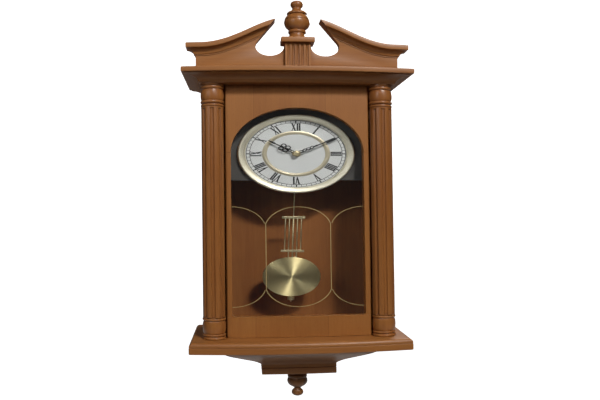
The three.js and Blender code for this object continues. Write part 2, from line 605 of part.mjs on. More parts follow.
function hands() {
  const hourY = DIAL_FRONT - 5.2;
  const minuteY = DIAL_FRONT - 6.8;
  const hour = handOutline(43.5, 4.6, 0.9, 15, 33, 4.6);
  add('hour_hand', handBlade(hour, hourY, hourY + 0.5, PIPE_R + GAP, HOUR_ANGLE), blackMetal);
  const minute = handOutline(65.5, 4.2, 0.8, 20, 46, 3.4);
  add('minute_hand', handBlade(minute, minuteY, minuteY + 0.5, ARBOR_R + GAP, MINUTE_ANGLE), blackMetal);
  add('hour_pipe', disc(PIPE_R, ARBOR_R + LOOSE, hourY - 0.2, MOVEMENT_FRONT + 8, 16), brass);
  add('minute_arbor', rodY(ARBOR_R, 0, DIAL_Z, minuteY - 0.8, MOVEMENT_FRONT + 12), steel);
  add('hand_cap_nut', spun([
    [0, minuteY - 3.6], [2.4, minuteY - 3.3], [4.4, minuteY - 2.2], [5.4, minuteY - 0.5], [5.4, minuteY - 0.15],
    [ARBOR_R + GAP, minuteY - 0.15], [ARBOR_R + GAP, minuteY - 1], [0, minuteY - 1],
  ], 0, DIAL_Z, 16), brass);
  const knobFront = MOVEMENT_BACK - 5.6;
  add('time_set_knob', spun([
    [0, knobFront], [8.6, knobFront], [9, knobFront + 0.5], [9, knobFront + 4.6], [8.2, knobFront + 5.4],
    [0, knobFront + 5.4],
  ], 0, DIAL_Z, 24), blackPlastic);
}

// ---- pendulum -----------------------------------------------------------------------------------
/** Built hanging straight down from its pivot at (0, 0, 0), then hung at its swing. */
function pendulum() {
  const hung = new THREE.Group();
  hung.position.set(0, PENDULUM_Y, PIVOT_Z);
  hung.rotation.y = PENDULUM_REST_TURN;
  clock.add(hung);

  const armShape = new THREE.Shape();
  const eyeR = 4;
  const armHalf = 2.4;
  const eyeTurn = Math.asin(armHalf / eyeR);
  armShape.absarc(0, 0, eyeR, -Math.PI / 2 + eyeTurn, 1.5 * Math.PI - eyeTurn, false);
  armShape.lineTo(-armHalf, -46);
  armShape.lineTo(armHalf, -46);
  armShape.holes.push(new THREE.Path().absarc(0, 0, 0.9 + LOOSE, 0, 2 * Math.PI, true));
  const hookHole = box(-1.3, 1.3, -3, 3, -44, -40);
  add('pendulum_arm', cut(board(armShape, -1.5, 1.5, 8), hookHole), blackPlastic, hung);

  const wireR = 0.8;
  const hookY = 3.2;
  const hook = join(
    box(-wireR, wireR, 1.8, hookY, -48.5, -41),
    box(-wireR, wireR, -1.2, hookY - 0.3, -42.4, -41.2),
    box(-wireR, wireR, -wireR, hookY, -50, -48.3),
    rodZ(wireR, 0, 0, -107, -49.5, 10),
  );
  const bar = (z0, z1) => box(-16.2, 16.2, -1.1, 1.1, z0, z1);
  const longRod = (k) => rodZ(GRID_ROD_R, k * GRID_PITCH, 0, -ROD_ENDS, -107, 10);
  const shortRod = (k) => rodZ(GRID_ROD_R, k * GRID_PITCH, 0, -178, -107, 10);
  const gridiron = join(
    hook, bar(-110.5, -105.5), bar(-180, -175.5), shortRod(-2), shortRod(2),
    longRod(-1), longRod(1), rodZ(1.1, 0, 0, -283, -107, 10),
  );
  add('pendulum_gridiron', gridiron, brass, hung);

  const dome = 5.4;
  const bob = spun([
    [0, -dome - 1.6], [14, -dome - 0.8], [26, -dome + 0.9], [34, -dome + 2.7], [38.4, -dome + 4], [39.2, -1.8],
    [BOB_R, -1.4], [BOB_R, 1.4], [38.6, 2.4], [0, 3.4],
  ], 0, -BOB_DROP, 32);
  const rodSlot = box(-1.5, 1.5, -1.6, 4, -BOB_DROP - BOB_R - 1, -BOB_DROP + BOB_R + 1);
  const sideSlots = [-1, 1].map((k) => box(
    k * GRID_PITCH - 1.3, k * GRID_PITCH + 1.3, -1.3, 4, -ROD_ENDS - 0.5, -BOB_DROP + BOB_R + 1));
  add('pendulum_bob', cut(bob, rodSlot, ...sideSlots), brass, hung);

  const nut = turned([[1.4, -279.6], [4, -279.6], [4.9, -278.6], [4.9, -274], [4, -273], [1.4, -273], [1.4, -279.6]],
    0, 0, 14);
  add('rating_nut', nut, brass, hung);
}

caseBoards();
hangingRail();
baseAndCrown();
[-1, 1].forEach((side) => {
  column(side);
  tympanum(side);
  scrollMoulding(side);
});
plinthAndFinial();
lowerBracket();
door();
hingePins();
dial();
movement();
hands();
pendulum();

export default clock;
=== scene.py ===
"""Looks for the quartz pendulum wall clock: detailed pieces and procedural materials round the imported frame.

Shape code works in millimetres and objects are in metres, in the row frame: X right, Y into the wall, Z up.
"""
import json
from math import acos, asin, atan2, cos, degrees, dist, hypot, pi, radians, sin, sqrt, tau

import bmesh
import bpy
from mathutils import Matrix, Vector

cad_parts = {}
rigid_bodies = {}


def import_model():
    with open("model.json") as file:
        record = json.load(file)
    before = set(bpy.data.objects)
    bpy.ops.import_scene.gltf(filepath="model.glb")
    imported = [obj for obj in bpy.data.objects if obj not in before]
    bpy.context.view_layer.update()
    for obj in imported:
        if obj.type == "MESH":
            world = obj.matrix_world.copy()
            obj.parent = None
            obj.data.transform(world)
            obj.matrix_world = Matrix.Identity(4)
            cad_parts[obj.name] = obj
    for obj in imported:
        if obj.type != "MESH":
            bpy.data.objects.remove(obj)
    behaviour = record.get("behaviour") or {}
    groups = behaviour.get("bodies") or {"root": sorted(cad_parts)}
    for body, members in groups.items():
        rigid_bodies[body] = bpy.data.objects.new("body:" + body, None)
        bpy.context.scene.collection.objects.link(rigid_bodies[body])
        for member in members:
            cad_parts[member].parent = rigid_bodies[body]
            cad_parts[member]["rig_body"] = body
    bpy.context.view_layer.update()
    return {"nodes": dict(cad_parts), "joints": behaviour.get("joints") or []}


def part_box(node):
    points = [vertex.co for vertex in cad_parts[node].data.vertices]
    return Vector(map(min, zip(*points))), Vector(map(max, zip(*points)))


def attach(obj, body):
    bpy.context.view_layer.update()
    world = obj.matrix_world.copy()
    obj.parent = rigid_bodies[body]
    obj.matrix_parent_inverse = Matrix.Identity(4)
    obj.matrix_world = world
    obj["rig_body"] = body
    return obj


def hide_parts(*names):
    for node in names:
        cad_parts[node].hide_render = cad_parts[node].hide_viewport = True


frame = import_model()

scene = bpy.context.scene
MM = 0.001
SHARP = 38  # degrees: a crease sharper than this is drawn as an edge


# ---- measures taken from the frame ----
def node_box(node):
    """(lowest, highest) corner of a CAD node in millimetres."""
    low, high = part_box(node)
    return low / MM, high / MM


def node_centre(node):
    low, high = node_box(node)
    return (low + high) / 2


def joint_place(name):
    for joint in frame["joints"]:
        if joint["name"] == name:
            return Vector(joint["pos_m"]) / MM
    raise KeyError(name)


DIAL = node_centre("dial_plate")
PIVOT = joint_place("pendulum_swing")
BOB = node_centre("pendulum_bob")
SWING = atan2(PIVOT.x - BOB.x, PIVOT.z - BOB.z)
HOUR_TURN = radians(305)
MINUTE_TURN = radians(60)


# ---- shape helpers ----
def smooth(points, steps=4):
    """Points along a Catmull-Rom curve through the given ones; two points stay a straight line."""
    if len(points) < 3:
        return list(points)
    padded = [points[0], *points, points[-1]]
    out = []
    for quad in zip(padded, padded[1:], padded[2:], padded[3:]):
        for k in range(steps):
            t = k / steps
            out.append(tuple(0.5 * (2 * b + (c - a) * t + (2 * a - 5 * b + 4 * c - d) * t * t
                                    + (3 * b - a - 3 * c + d) * t ** 3)
                             for a, b, c, d in zip(*quad)))
    return out + [tuple(points[-1])]


def profile(*runs, steps=4):
    """Joins smooth runs end to end. Each run starts where the one before stopped, with a corner there."""
    out = []
    for run in runs:
        for point in smooth(out[-1:] + list(run), steps):
            if not out or dist(out[-1], point) > 1e-6:
                out.append(tuple(point))
    return out


def loft(bm, rings, closed=False):
    """Quads between rings of points, with a flat cap at each end unless the last ring joins the first."""
    made = [[bm.verts.new(p) for p in ring] for ring in rings]
    following = made[1:] + made[:1] if closed else made[1:]
    for a, b in zip(made, following):
        n = len(a)
        for k in range(n):
            bm.faces.new((a[k], a[(k + 1) % n], b[(k + 1) % n], b[k]))
    if not closed:
        bm.faces.new(list(reversed(made[0])))
        bm.faces.new(made[-1])


def tidy(bm, gap=2e-4):
    """Joins vertices closer than gap millimetres, drops loose ones and turns every face outwards."""
    bmesh.ops.remove_doubles(bm, verts=bm.verts, dist=gap)
    bmesh.ops.dissolve_degenerate(bm, dist=gap / 4, edges=bm.edges)
    loose = [v for v in bm.verts if not v.link_faces]
    bmesh.ops.delete(bm, geom=loose, context="VERTS")
    bmesh.ops.recalc_face_normals(bm, faces=bm.faces)


def finish_piece(name, bm, body, materials, replaces=(), sharp=SHARP, place=None):
    """Makes an object of bm (in mm) that rides on body, has the given materials and replaces some nodes."""
    tidy(bm)
    bmesh.ops.transform(bm, matrix=place or Matrix.Identity(4), verts=bm.verts)
    bmesh.ops.scale(bm, vec=(MM, MM, MM), verts=bm.verts)
    mesh = bpy.data.meshes.new(name)
    bm.to_mesh(mesh)
    bm.free()
    for m in materials if isinstance(materials, (list, tuple)) else [materials]:
        mesh.materials.append(m)
    mesh.shade_smooth()
    mesh.set_sharp_from_angle(angle=radians(sharp))
    o = bpy.data.objects.new(name, mesh)
    scene.collection.objects.link(o)
    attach(o, body)
    if replaces:
        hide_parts(*replaces)
    return o


def lathe_rings(points, segments, centre, axis):
    """Rings for a profile of (radius, place along the axis) about a line parallel to axis through centre."""
    rings = []
    for r, h in points:
        ring = []
        for k in range(segments):
            a = tau * k / segments
            if axis == "Z":
                ring.append((centre[0] + r * cos(a), centre[1] + r * sin(a), h))
            else:
                ring.append((centre[0] + r * cos(a), h, centre[2] + r * sin(a)))
        rings.append(ring)
    return rings


def turned(name, node, points, body, material, axis="Z", segments=96, closed=False):
    """A turned piece in a CAD node's place: the same axis, and a profile that starts where its box does."""
    low, high = node_box(node)
    centre = (low + high) / 2
    along = {"Z": 2, "Y": 1}[axis]
    shift = low[along] - min(h for _, h in points)
    bm = bmesh.new()
    loft(bm, lathe_rings([(r, h + shift) for r, h in points], segments, centre, axis), closed)
    return finish_piece(name, bm, body, material, [node])


def softened(name, node, material, width=0.8, segments=3):
    """A copy of a CAD board with its arrises rounded over, in the board's own place."""
    source = frame["nodes"][node]
    bm = bmesh.new()
    bm.from_mesh(source.data)
    bmesh.ops.remove_doubles(bm, verts=bm.verts, dist=2e-6)
    bmesh.ops.dissolve_limit(bm, angle_limit=radians(0.4), verts=bm.verts, edges=bm.edges)
    bmesh.ops.scale(bm, vec=(1 / MM, 1 / MM, 1 / MM), verts=bm.verts)
    o = finish_piece(name, bm, source["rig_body"], material, [node], sharp=30)
    bevel = o.modifiers.new("Arrises", "BEVEL")
    bevel.limit_method = "ANGLE"
    bevel.angle_limit = radians(35)
    bevel.width = width * MM
    bevel.segments = segments
    bevel.harden_normals = True
    return o


def rounded_ring(half_w, front, back, z, corner):
    """A rectangle's points from back right round its two rounded front corners to back left."""
    steps = 6
    ring = [(half_w, back, z)]
    for sx, start in ((1, 0), (-1, -90)):
        for k in range(steps + 1):
            a = radians(start - 90 * k / steps)
            ring.append((sx * (half_w - corner) + corner * cos(a),
                         front + corner + corner * sin(a), z))
    ring.append((-half_w, back, z))
    return ring


def by_side(bm):
    """Faces that look sideways take the second material, whose grain runs front to back."""
    for f in bm.faces:
        f.material_index = int(abs(f.normal.x) > abs(f.normal.y) + abs(f.normal.z) * 0.5)


def mitred(name, node, levels, corner):
    """A moulding mitred round the front and both ends. levels are runs of (half width, depth, z) going up."""
    low, high = node_box(node)
    points = profile(*levels)
    shift = low.z - min(z for _, _, z in points)
    centre_x = (low.x + high.x) / 2
    bm = bmesh.new()
    loft(bm, [[(x + centre_x, y, z) for x, y, z in rounded_ring(w, high.y - d, high.y, z + shift, corner)]
              for w, d, z in points])
    tidy(bm)
    by_side(bm)
    return finish_piece(name, bm, frame["nodes"][node]["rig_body"], [wood_x, wood_y], [node])


def plate(bm, outlines, y_front, y_back, edge=0.0):
    """Adds a flat plate with these closed (x, z) outlines, holes included, its edges rounded by `edge`."""
    curve = bpy.data.curves.new("outline", "CURVE")
    curve.dimensions = "2D"
    curve.fill_mode = "BOTH"
    curve.extrude = (y_back - y_front) / 2 - edge
    curve.bevel_depth = edge
    curve.bevel_resolution = 2
    curve.offset = -edge
    for outline in outlines:
        spline = curve.splines.new("POLY")
        spline.points.add(len(outline) - 1)
        for point, (x, z) in zip(spline.points, outline):
            point.co = (x, z, 0, 1)
        spline.use_cyclic_u = True
    holder = bpy.data.objects.new("outline", curve)
    mesh = bpy.data.meshes.new_from_object(holder)
    mesh.transform(Matrix.Translation((0, (y_front + y_back) / 2, 0)) @ Matrix.Rotation(pi / 2, 4, "X"))
    bm.from_mesh(mesh)
    bpy.data.objects.remove(holder)
    bpy.data.curves.remove(curve)
    bpy.data.meshes.remove(mesh)


def arc(cx, cz, r, start, stop, steps):
    """Points (x, z) on a circle, angles in degrees anticlockwise from +X."""
    return [(cx + r * cos(radians(start + (stop - start) * k / steps)),
             cz + r * sin(radians(start + (stop - start) * k / steps))) for k in range(steps + 1)]


def circle(cx, cz, r, steps):
    return arc(cx, cz, r, 0, 360, steps)[:-1]


def ribbon(line, width):
    """The outline of a band of that width along a line of (x, z) points."""
    half = width / 2
    left, right = [], []
    n = len(line)
    for k, (x, z) in enumerate(line):
        x0, z0 = line[max(k - 1, 0)]
        x1, z1 = line[min(k + 1, n - 1)]
        length = hypot(x1 - x0, z1 - z0)
        nx, nz = (z1 - z0) / length, -(x1 - x0) / length
        left.append((x - nx * half, z - nz * half))
        right.append((x + nx * half, z + nz * half))
    return left + right[::-1]


def tube(bm, line, radius, segments=12):
    """A round bar along a line of points, rounded at both ends."""
    pts = [Vector(p) for p in line]
    rings = []
    n = len(pts)
    for k, p in enumerate(pts):
        along = (pts[min(k + 1, n - 1)] - pts[max(k - 1, 0)]).normalized()
        side = along.cross(Vector((0, 1, 0)) if abs(along.y) < 0.9 else Vector((1, 0, 0))).normalized()
        up = side.cross(along)
        ends = [(1.0, 0.0)]
        if k == 0:
            ends = [(0.35, -0.6), (0.8, -0.35), (1.0, 0.0)]
        elif k == n - 1:
            ends = [(1.0, 0.0), (0.8, 0.35), (0.35, 0.6)]
        for scale, push in ends:
            rings.append([p + along * push * radius + (side * cos(a) + up * sin(a)) * radius * scale
                          for a in (tau * j / segments for j in range(segments))])
    loft(bm, rings)


def block(bm, x0, x1, y0, y1, z0, z1, edge):
    """A bar along X with its long edges and ends rounded by `edge`."""
    steps = 3
    section = []
    for cy, cz, start in ((y1 - edge, z1 - edge, 0), (y0 + edge, z1 - edge, 90),
                          (y0 + edge, z0 + edge, 180), (y1 - edge, z0 + edge, 270)):
        for k in range(steps + 1):
            a = radians(start + 90 * k / steps)
            section.append((cy, cz, cos(a), sin(a)))
    rings = []
    for k in range(steps + 1):
        a = pi / 2 * k / steps
        rings.append((x0 + edge * (1 - sin(a)), edge * cos(a)))
    rings += [(x0 + x1 - x, inset) for x, inset in reversed(rings)]
    loft(bm, [[(x, cy + (edge - inset) * c, cz + (edge - inset) * s) for cy, cz, c, s in section]
              for x, inset in rings])


# ---- material helpers ----
def new_material(name, **sockets):
    m = bpy.data.materials.new(name)
    m.use_nodes = True
    shader = m.node_tree.nodes["Principled BSDF"]
    for key, value in sockets.items():
        shader.inputs[key.replace("_", " ")].default_value = value
    return m, m.node_tree, shader


def node(tree, kind, inputs=None, **settings):
    n = tree.nodes.new("ShaderNode" + kind)
    for key, value in settings.items():
        setattr(n, key, value)
    for key, value in (inputs or {}).items():
        if isinstance(value, bpy.types.NodeSocket):
            tree.links.new(value, n.inputs[key])
        else:
            n.inputs[key].default_value = value
    return n


def row_position(tree):
    """Where a point of the object is, in metres in the row frame at rest."""
    return node(tree, "TexCoord").outputs["Object"]


def stretched(tree, scale, seed=0.0):
    return node(tree, "Mapping", {"Vector": row_position(tree), "Scale": scale,
                                  "Location": (seed, seed * 1.7, seed * 2.3)}).outputs["Vector"]


def noise(tree, vector, scale, detail=4.0, roughness=0.55, distortion=0.0):
    return node(tree, "TexNoise", {"Vector": vector, "Scale": scale, "Detail": detail, "Roughness": roughness,
                                   "Distortion": distortion}).outputs["Fac"]


def maths(tree, operation, a, b=0.0, c=0.0):
    return node(tree, "Math", {0: a, 1: b, 2: c}, operation=operation).outputs[0]


def spread(tree, value, low, high, to_low=0.0, to_high=1.0):
    return node(tree, "MapRange", {"Value": value, "From Min": low, "From Max": high, "To Min": to_low,
                                   "To Max": to_high}).outputs["Result"]


def mix(tree, factor, a, b, blend="MIX"):
    n = node(tree, "Mix", data_type="RGBA", blend_type=blend)
    for index, value in ((0, factor), (6, a), (7, b)):
        if isinstance(value, bpy.types.NodeSocket):
            tree.links.new(value, n.inputs[index])
        else:
            n.inputs[index].default_value = value if index == 0 else (*value, 1.0)
    return n.outputs[2]


def bump(tree, height, strength, distance):
    inputs = {"Height": height, "Strength": strength, "Distance": distance}
    return node(tree, "Bump", inputs).outputs["Normal"]


def connect(tree, shader, **sockets):
    """Links node outputs to the shader's inputs; an underscore in a key stands for a space."""
    for key, value in sockets.items():
        tree.links.new(value, shader.inputs[key.replace("_", " ")])


def tint(colour, *factors):
    """The colour with each channel multiplied by its own factor."""
    return tuple(c * k for c, k in zip(colour, factors))


def wood(name, grain, dark, light, gloss=0.46, seed=0.0, coat=0.08, seams=(), contrast=0.6, painted_shade_depth=0.62):
    """Stained, lacquered timber with its fibres along `grain` (X, Y or Z).

    seams are the places, in mm along X, where a veneer changes tone; the last argument sets how dark the
    painted shade in its corners and recesses gets.
    """
    m, tree, shader = new_material(name, Roughness=gloss, Coat_Weight=coat, Coat_Roughness=0.28,
                                   Specular_IOR_Level=0.32)
    axis = "XYZ".index(grain)

    def fibres(along, across):
        scale = [across] * 3
        scale[axis] = along
        return stretched(tree, scale, seed)

    figure = noise(tree, fibres(2.2, 26.0), 1.0, 5.0, 0.6, 1.4)
    streak = noise(tree, fibres(9.0, 420.0), 1.0, 5.0, 0.65, 0.2)
    fine = noise(tree, fibres(40.0, 1900.0), 1.0, 3.0, 0.6)
    pores = noise(tree, fibres(150.0, 2600.0), 1.0, 2.0, 0.5)
    cloud = noise(tree, row_position(tree), 11.0, 3.0, 0.5)
    shade = spread(tree, figure, 0.32, 0.68, 0.5 - 0.5 * contrast, 0.5 + 0.5 * contrast)
    colour = mix(tree, shade, dark, light)
    colour = mix(tree, spread(tree, streak, 0.35, 0.7, 0.0, 0.5 * contrast), colour,
                 mix(tree, 0.5, dark, tint(dark, 0.5, 0.42, 0.38)))
    colour = mix(tree, spread(tree, fine, 0.3, 0.75, 0.0, 0.22), colour, tint(light, 1.35, 1.3, 1.25))
    pore = spread(tree, pores, 0.64, 0.72, 0.0, 0.4)
    colour = mix(tree, pore, colour, tint(dark, 0.35, 0.3, 0.3))
    colour = mix(tree, spread(tree, cloud, 0.35, 0.7, 0.0, 0.5), colour, (0.9, 0.82, 0.74), "MULTIPLY")
    if seams:
        x = node(tree, "SeparateXYZ", {"Vector": row_position(tree)}).outputs["X"]
        for k, place in enumerate(seams):
            off = maths(tree, "ABSOLUTE", maths(tree, "SUBTRACT", x, place * MM))
            line = spread(tree, off, 0.00015, 0.0006, 0.38, 0.0)
            colour = mix(tree, line, colour, tint(dark, 0.3, 0.3, 0.3))
            side = maths(tree, "GREATER_THAN", x, place * MM)
            tone = (0.95, 0.93, 0.9) if k % 2 == 0 else (1.06, 1.07, 1.08)
            colour = mix(tree, side, colour, mix(tree, 1.0, colour, tone, "MULTIPLY"))
    # Painted shade: ambient occlusion over the piece itself darkens its corners, creases, flutes and grooves
    # towards a deep brown.
    painted_shade_ao = node(tree, "AmbientOcclusion", {"Distance": 0.009}, samples=6, only_local=True).outputs["AO"]
    colour = mix(tree, spread(tree, painted_shade_ao, 0.35, 0.95, painted_shade_depth, 0.0), colour, tint(dark, 0.42, 0.3, 0.25))
    height = maths(tree, "MULTIPLY_ADD", streak, 0.6, maths(tree, "MULTIPLY", fine, 0.3))
    connect(tree, shader, Base_Color=colour,
            Roughness=maths(tree, "MULTIPLY_ADD", streak, 0.16, gloss - 0.09),
            Normal=bump(tree, maths(tree, "SUBTRACT", height, pore), 0.18, 0.00018))
    return m


def metal(name, colour, roughness, centre=None, rings=0.0, tarnish=(0.8, 0.72, 0.6), anisotropic=0.0,
          grain=None):
    """Plated or polished metal. With a centre (x, z in mm) it was spun, and has fine rings about that point.

    With a grain (X, Y or Z) it was brushed along that axis.
    """
    m, tree, shader = new_material(name, Metallic=1.0, Roughness=roughness, Anisotropic=anisotropic)
    position = row_position(tree)
    cloud = noise(tree, position, 60.0, 4.0, 0.6)
    specks = noise(tree, position, 900.0, 2.0, 0.5)
    base = mix(tree, spread(tree, cloud, 0.35, 0.7, 0.0, 0.5), colour, tint(colour, *tarnish))
    height = maths(tree, "MULTIPLY", specks, 0.3)
    rough = maths(tree, "MULTIPLY_ADD", cloud, 0.16, roughness - 0.08)
    if centre is not None:
        split = node(tree, "SeparateXYZ", {"Vector": position})
        dx = maths(tree, "SUBTRACT", split.outputs["X"], centre[0] * MM)
        dz = maths(tree, "SUBTRACT", split.outputs["Z"], centre[1] * MM)
        radius = maths(tree, "SQRT", maths(tree, "MULTIPLY_ADD", dx, dx, maths(tree, "MULTIPLY", dz, dz)))

        def ripple(scale, detail):
            inputs = {"W": maths(tree, "MULTIPLY", radius, scale), "Scale": 1.0, "Detail": detail}
            return node(tree, "TexNoise", inputs, noise_dimensions="1D").outputs["Fac"]

        turning = ripple(3200.0, 3.0)
        base = mix(tree, spread(tree, turning, 0.35, 0.7, 0.0, 0.28), base, tint(colour, 0.62, 0.55, 0.42))
        broad = maths(tree, "SUBTRACT", ripple(420.0, 2.0), 0.5)
        rough = maths(tree, "MULTIPLY_ADD", broad, 0.18, rough)
        height = maths(tree, "MULTIPLY_ADD", turning, rings, height)
    if grain is not None:
        scale = [1400.0] * 3
        scale["XYZ".index(grain)] = 30.0
        brushed = noise(tree, stretched(tree, scale), 1.0, 3.0, 0.6)
        base = mix(tree, spread(tree, brushed, 0.3, 0.7, 0.0, 0.2), base, tint(colour, 0.7, 0.7, 0.7))
        height = maths(tree, "ADD", height, brushed)
    connect(tree, shader, Base_Color=base, Roughness=rough, Normal=bump(tree, height, 0.25, 0.00004))
    if anisotropic:
        shader.inputs["Anisotropic Rotation"].default_value = 0.25
        tangent = node(tree, "Tangent", direction_type="RADIAL", axis="Y").outputs["Tangent"]
        connect(tree, shader, Tangent=tangent)
    return m


def paint(name, colour, roughness, mottle=(0.85, 0.85, 0.85), grit=500.0, relief=0.12, metallic=0.0):
    """Paint, print or moulded plastic: a plain colour with slight mottling and a fine surface texture."""
    m, tree, shader = new_material(name, Roughness=roughness, Metallic=metallic)
    position = row_position(tree)
    cloud = noise(tree, position, 35.0, 4.0, 0.6)
    grain = noise(tree, position, grit, 3.0, 0.6)
    base = mix(tree, spread(tree, cloud, 0.35, 0.68, 0.0, 1.0), colour, tint(colour, *mottle))
    base = mix(tree, spread(tree, grain, 0.35, 0.7, 0.0, 0.3), base, tint(colour, 0.75, 0.75, 0.75))
    connect(tree, shader, Base_Color=base, Normal=bump(tree, grain, relief, 0.00008),
            Roughness=maths(tree, "MULTIPLY_ADD", grain, 0.15, roughness - 0.07))
    return m


DARK = (0.215, 0.074, 0.0155)
LIGHT = (0.38, 0.158, 0.04)
wood_x = wood("Wood_along_X", "X", DARK, LIGHT, seed=0.3)
wood_y = wood("Wood_along_Y", "Y", DARK, LIGHT, seed=1.1)
wood_z = wood("Wood_along_Z", "Z", DARK, LIGHT, seed=2.4)
wood_door = wood("Wood_door_veneer", "Z", DARK, LIGHT, seed=4.2, seams=(-58, 38), contrast=0.3)
# The turned timber gets the deepest painted shade in its flutes and grooves.
wood_turned = wood("Wood_turned", "Z", (0.205, 0.066, 0.0145), (0.36, 0.146, 0.037), gloss=0.36, seed=6.6,
                   painted_shade_depth=0.9)
# A darker copy of the case timber: painted shade for the parts hanging under the base.
wood_painted_shade = wood("Wood_bracket_painted_shade", "X", (0.16, 0.06, 0.016), (0.28, 0.118, 0.034), seed=8.1)
wood_back = wood("Back_panel", "Z", (0.25, 0.082, 0.018), (0.38, 0.145, 0.036), gloss=0.62, seed=9.9,
                 coat=0.0)
charcoal = paint("Charcoal_paint", (0.085, 0.08, 0.075), 0.62)
dial_paper = paint("Dial_face", (0.80, 0.81, 0.81), 0.55, (0.97, 0.97, 0.97), 1400.0, 0.05)
dial_ink = paint("Dial_ink", (0.012, 0.012, 0.014), 0.5, grit=2500.0, relief=0.05)
gilt = metal("Bezel_gilt", (0.78, 0.74, 0.62), 0.5, (DIAL.x, DIAL.z), 1.0, (0.9, 0.88, 0.8))
ring_gilt = metal("Chapter_ring_gilt", (0.62, 0.56, 0.43), 0.46, (DIAL.x, DIAL.z), 0.6, (0.9, 0.86, 0.78))
bob_brass = metal("Bob_spun_brass", (0.86, 0.75, 0.43), 0.6, (BOB.x, BOB.z), 1.6, (0.9, 0.86, 0.8),
                  anisotropic=1.0)
brass = metal("Brass", (0.68, 0.58, 0.36), 0.34, grain="Z")
gold_print = paint("Gold_line", (0.62, 0.45, 0.19), 0.45, metallic=0.3)
steel = metal("Steel", (0.56, 0.57, 0.58), 0.32, grain="X", tarnish=(0.85, 0.84, 0.82))
black_plastic = paint("Black_plastic", (0.02, 0.02, 0.021), 0.5, grit=1800.0, relief=0.35)
black_metal = paint("Black_enamel", (0.006, 0.006, 0.007), 0.55, grit=2200.0, relief=0.05)


def glass_material():
    """Clear glass that mirrors more the flatter it is seen, from either face."""
    m, tree, shader = new_material("Glass")
    tree.nodes.remove(shader)
    smear = noise(tree, row_position(tree), 9.0, 4.0, 0.6)
    clear = node(tree, "BsdfTransparent", {"Color": (0.975, 0.98, 0.975, 1.0)})
    shine = node(tree, "BsdfGlossy", {"Color": (1, 1, 1, 1),
                                      "Roughness": spread(tree, smear, 0.3, 0.7, 0.01, 0.06)})
    slant = node(tree, "LayerWeight", {"Blend": 0.5}).outputs["Facing"]
    mirror = maths(tree, "MULTIPLY_ADD", maths(tree, "POWER", slant, 5.0), 0.96, 0.04)
    both = node(tree, "MixShader", {0: mirror, 1: clear.outputs[0], 2: shine.outputs[0]})
    tree.links.new(both.outputs[0], tree.nodes["Material Output"].inputs["Surface"])
    return m


def battery_material():
    """A plain dark sleeve with a band of a lighter colour at its positive end and a bare metal cap."""
    m, tree, shader = new_material("Battery_sleeve", Roughness=0.32, Coat_Weight=0.4, Coat_Roughness=0.1)
    low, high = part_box("battery")
    x = node(tree, "SeparateXYZ", {"Vector": row_position(tree)}).outputs["X"]
    band = maths(tree, "GREATER_THAN", x, high.x - 0.3 * (high.x - low.x))
    cap = maths(tree, "GREATER_THAN", x, high.x - 0.0011)
    grain = noise(tree, row_position(tree), 700.0, 3.0)
    colour = mix(tree, band, (0.03, 0.075, 0.05), (0.45, 0.3, 0.1))
    colour = mix(tree, cap, colour, (0.6, 0.6, 0.6))
    colour = mix(tree, spread(tree, grain, 0.3, 0.7, 0.0, 0.25), colour, (0.02, 0.02, 0.02))
    connect(tree, shader, Base_Color=colour, Metallic=cap, Normal=bump(tree, grain, 0.1, 0.00005))
    return m


glass = glass_material()
sleeve = battery_material()


def assign(material, *names):
    """Gives CAD nodes that stay as they are their material."""
    for name in names:
        mesh = frame["nodes"][name].data
        mesh.materials.clear()
        mesh.materials.append(material)


assign(black_plastic, "movement_case", "time_set_knob", "pendulum_arm")
assign(brass, "movement_bush", "bush_nut", "hour_pipe", "hinge_pin_bottom", "hinge_pin_top")
assign(steel, "pendulum_pivot_pin", "minute_arbor", "door_strike_plate", "door_magnet", "keyhole_plate",
       "battery_contact_negative", "battery_contact_positive")
assign(sleeve, "battery")
assign(glass, "door_glass")


# ---- case ----
softened("back_panel_board", "back_panel", wood_back, 0.5)
softened("side_panel_left_board", "side_panel_left", wood_z)
softened("side_panel_right_board", "side_panel_right", wood_z)
softened("front_frame_board", "front_frame", wood_z, 0.6)
softened("hanging_rail_board", "hanging_rail", wood_x, 0.5)
softened("dial_board_panel", "dial_board", charcoal, 0.4)


def screw_head(name, node_name):
    """A pan head with a cross recess on its shank, head towards the back of the clock."""
    low, high = node_box(node_name)
    centre = (low + high) / 2
    head_r = (high.x - low.x) / 2
    shank_r = head_r * 0.43
    tip, top = low.y, high.y
    under = top - 1.3
    points = profile([(0, tip), (shank_r, tip + 1.6)], [(shank_r, under)],
                     [(head_r, under)],
                     [(head_r * 0.97, top - 0.7), (head_r * 0.8, top - 0.25),
                      (head_r * 0.5, top)],
                     [(head_r * 0.3, top), (head_r * 0.12, top), (0, top)], steps=3)
    bm = bmesh.new()
    loft(bm, lathe_rings(points, 32, centre, "Y"))
    for v in bm.verts:
        u, w = abs(v.co.x - centre.x), abs(v.co.z - centre.z)
        if v.co.y > top - 0.4 and min(u, w) < 0.42 and max(u, w) < head_r * 0.55:
            v.co.y -= 0.75
    finish_piece(name, bm, "case", steel, [node_name])


for side in ("left", "right"):
    screw_head(f"keyhole_screw_{side}", f"keyhole_plate_screw_{side}")
for k in range(1, 5):
    screw_head(f"dial_screw_{k}", f"dial_board_screw_{k}")

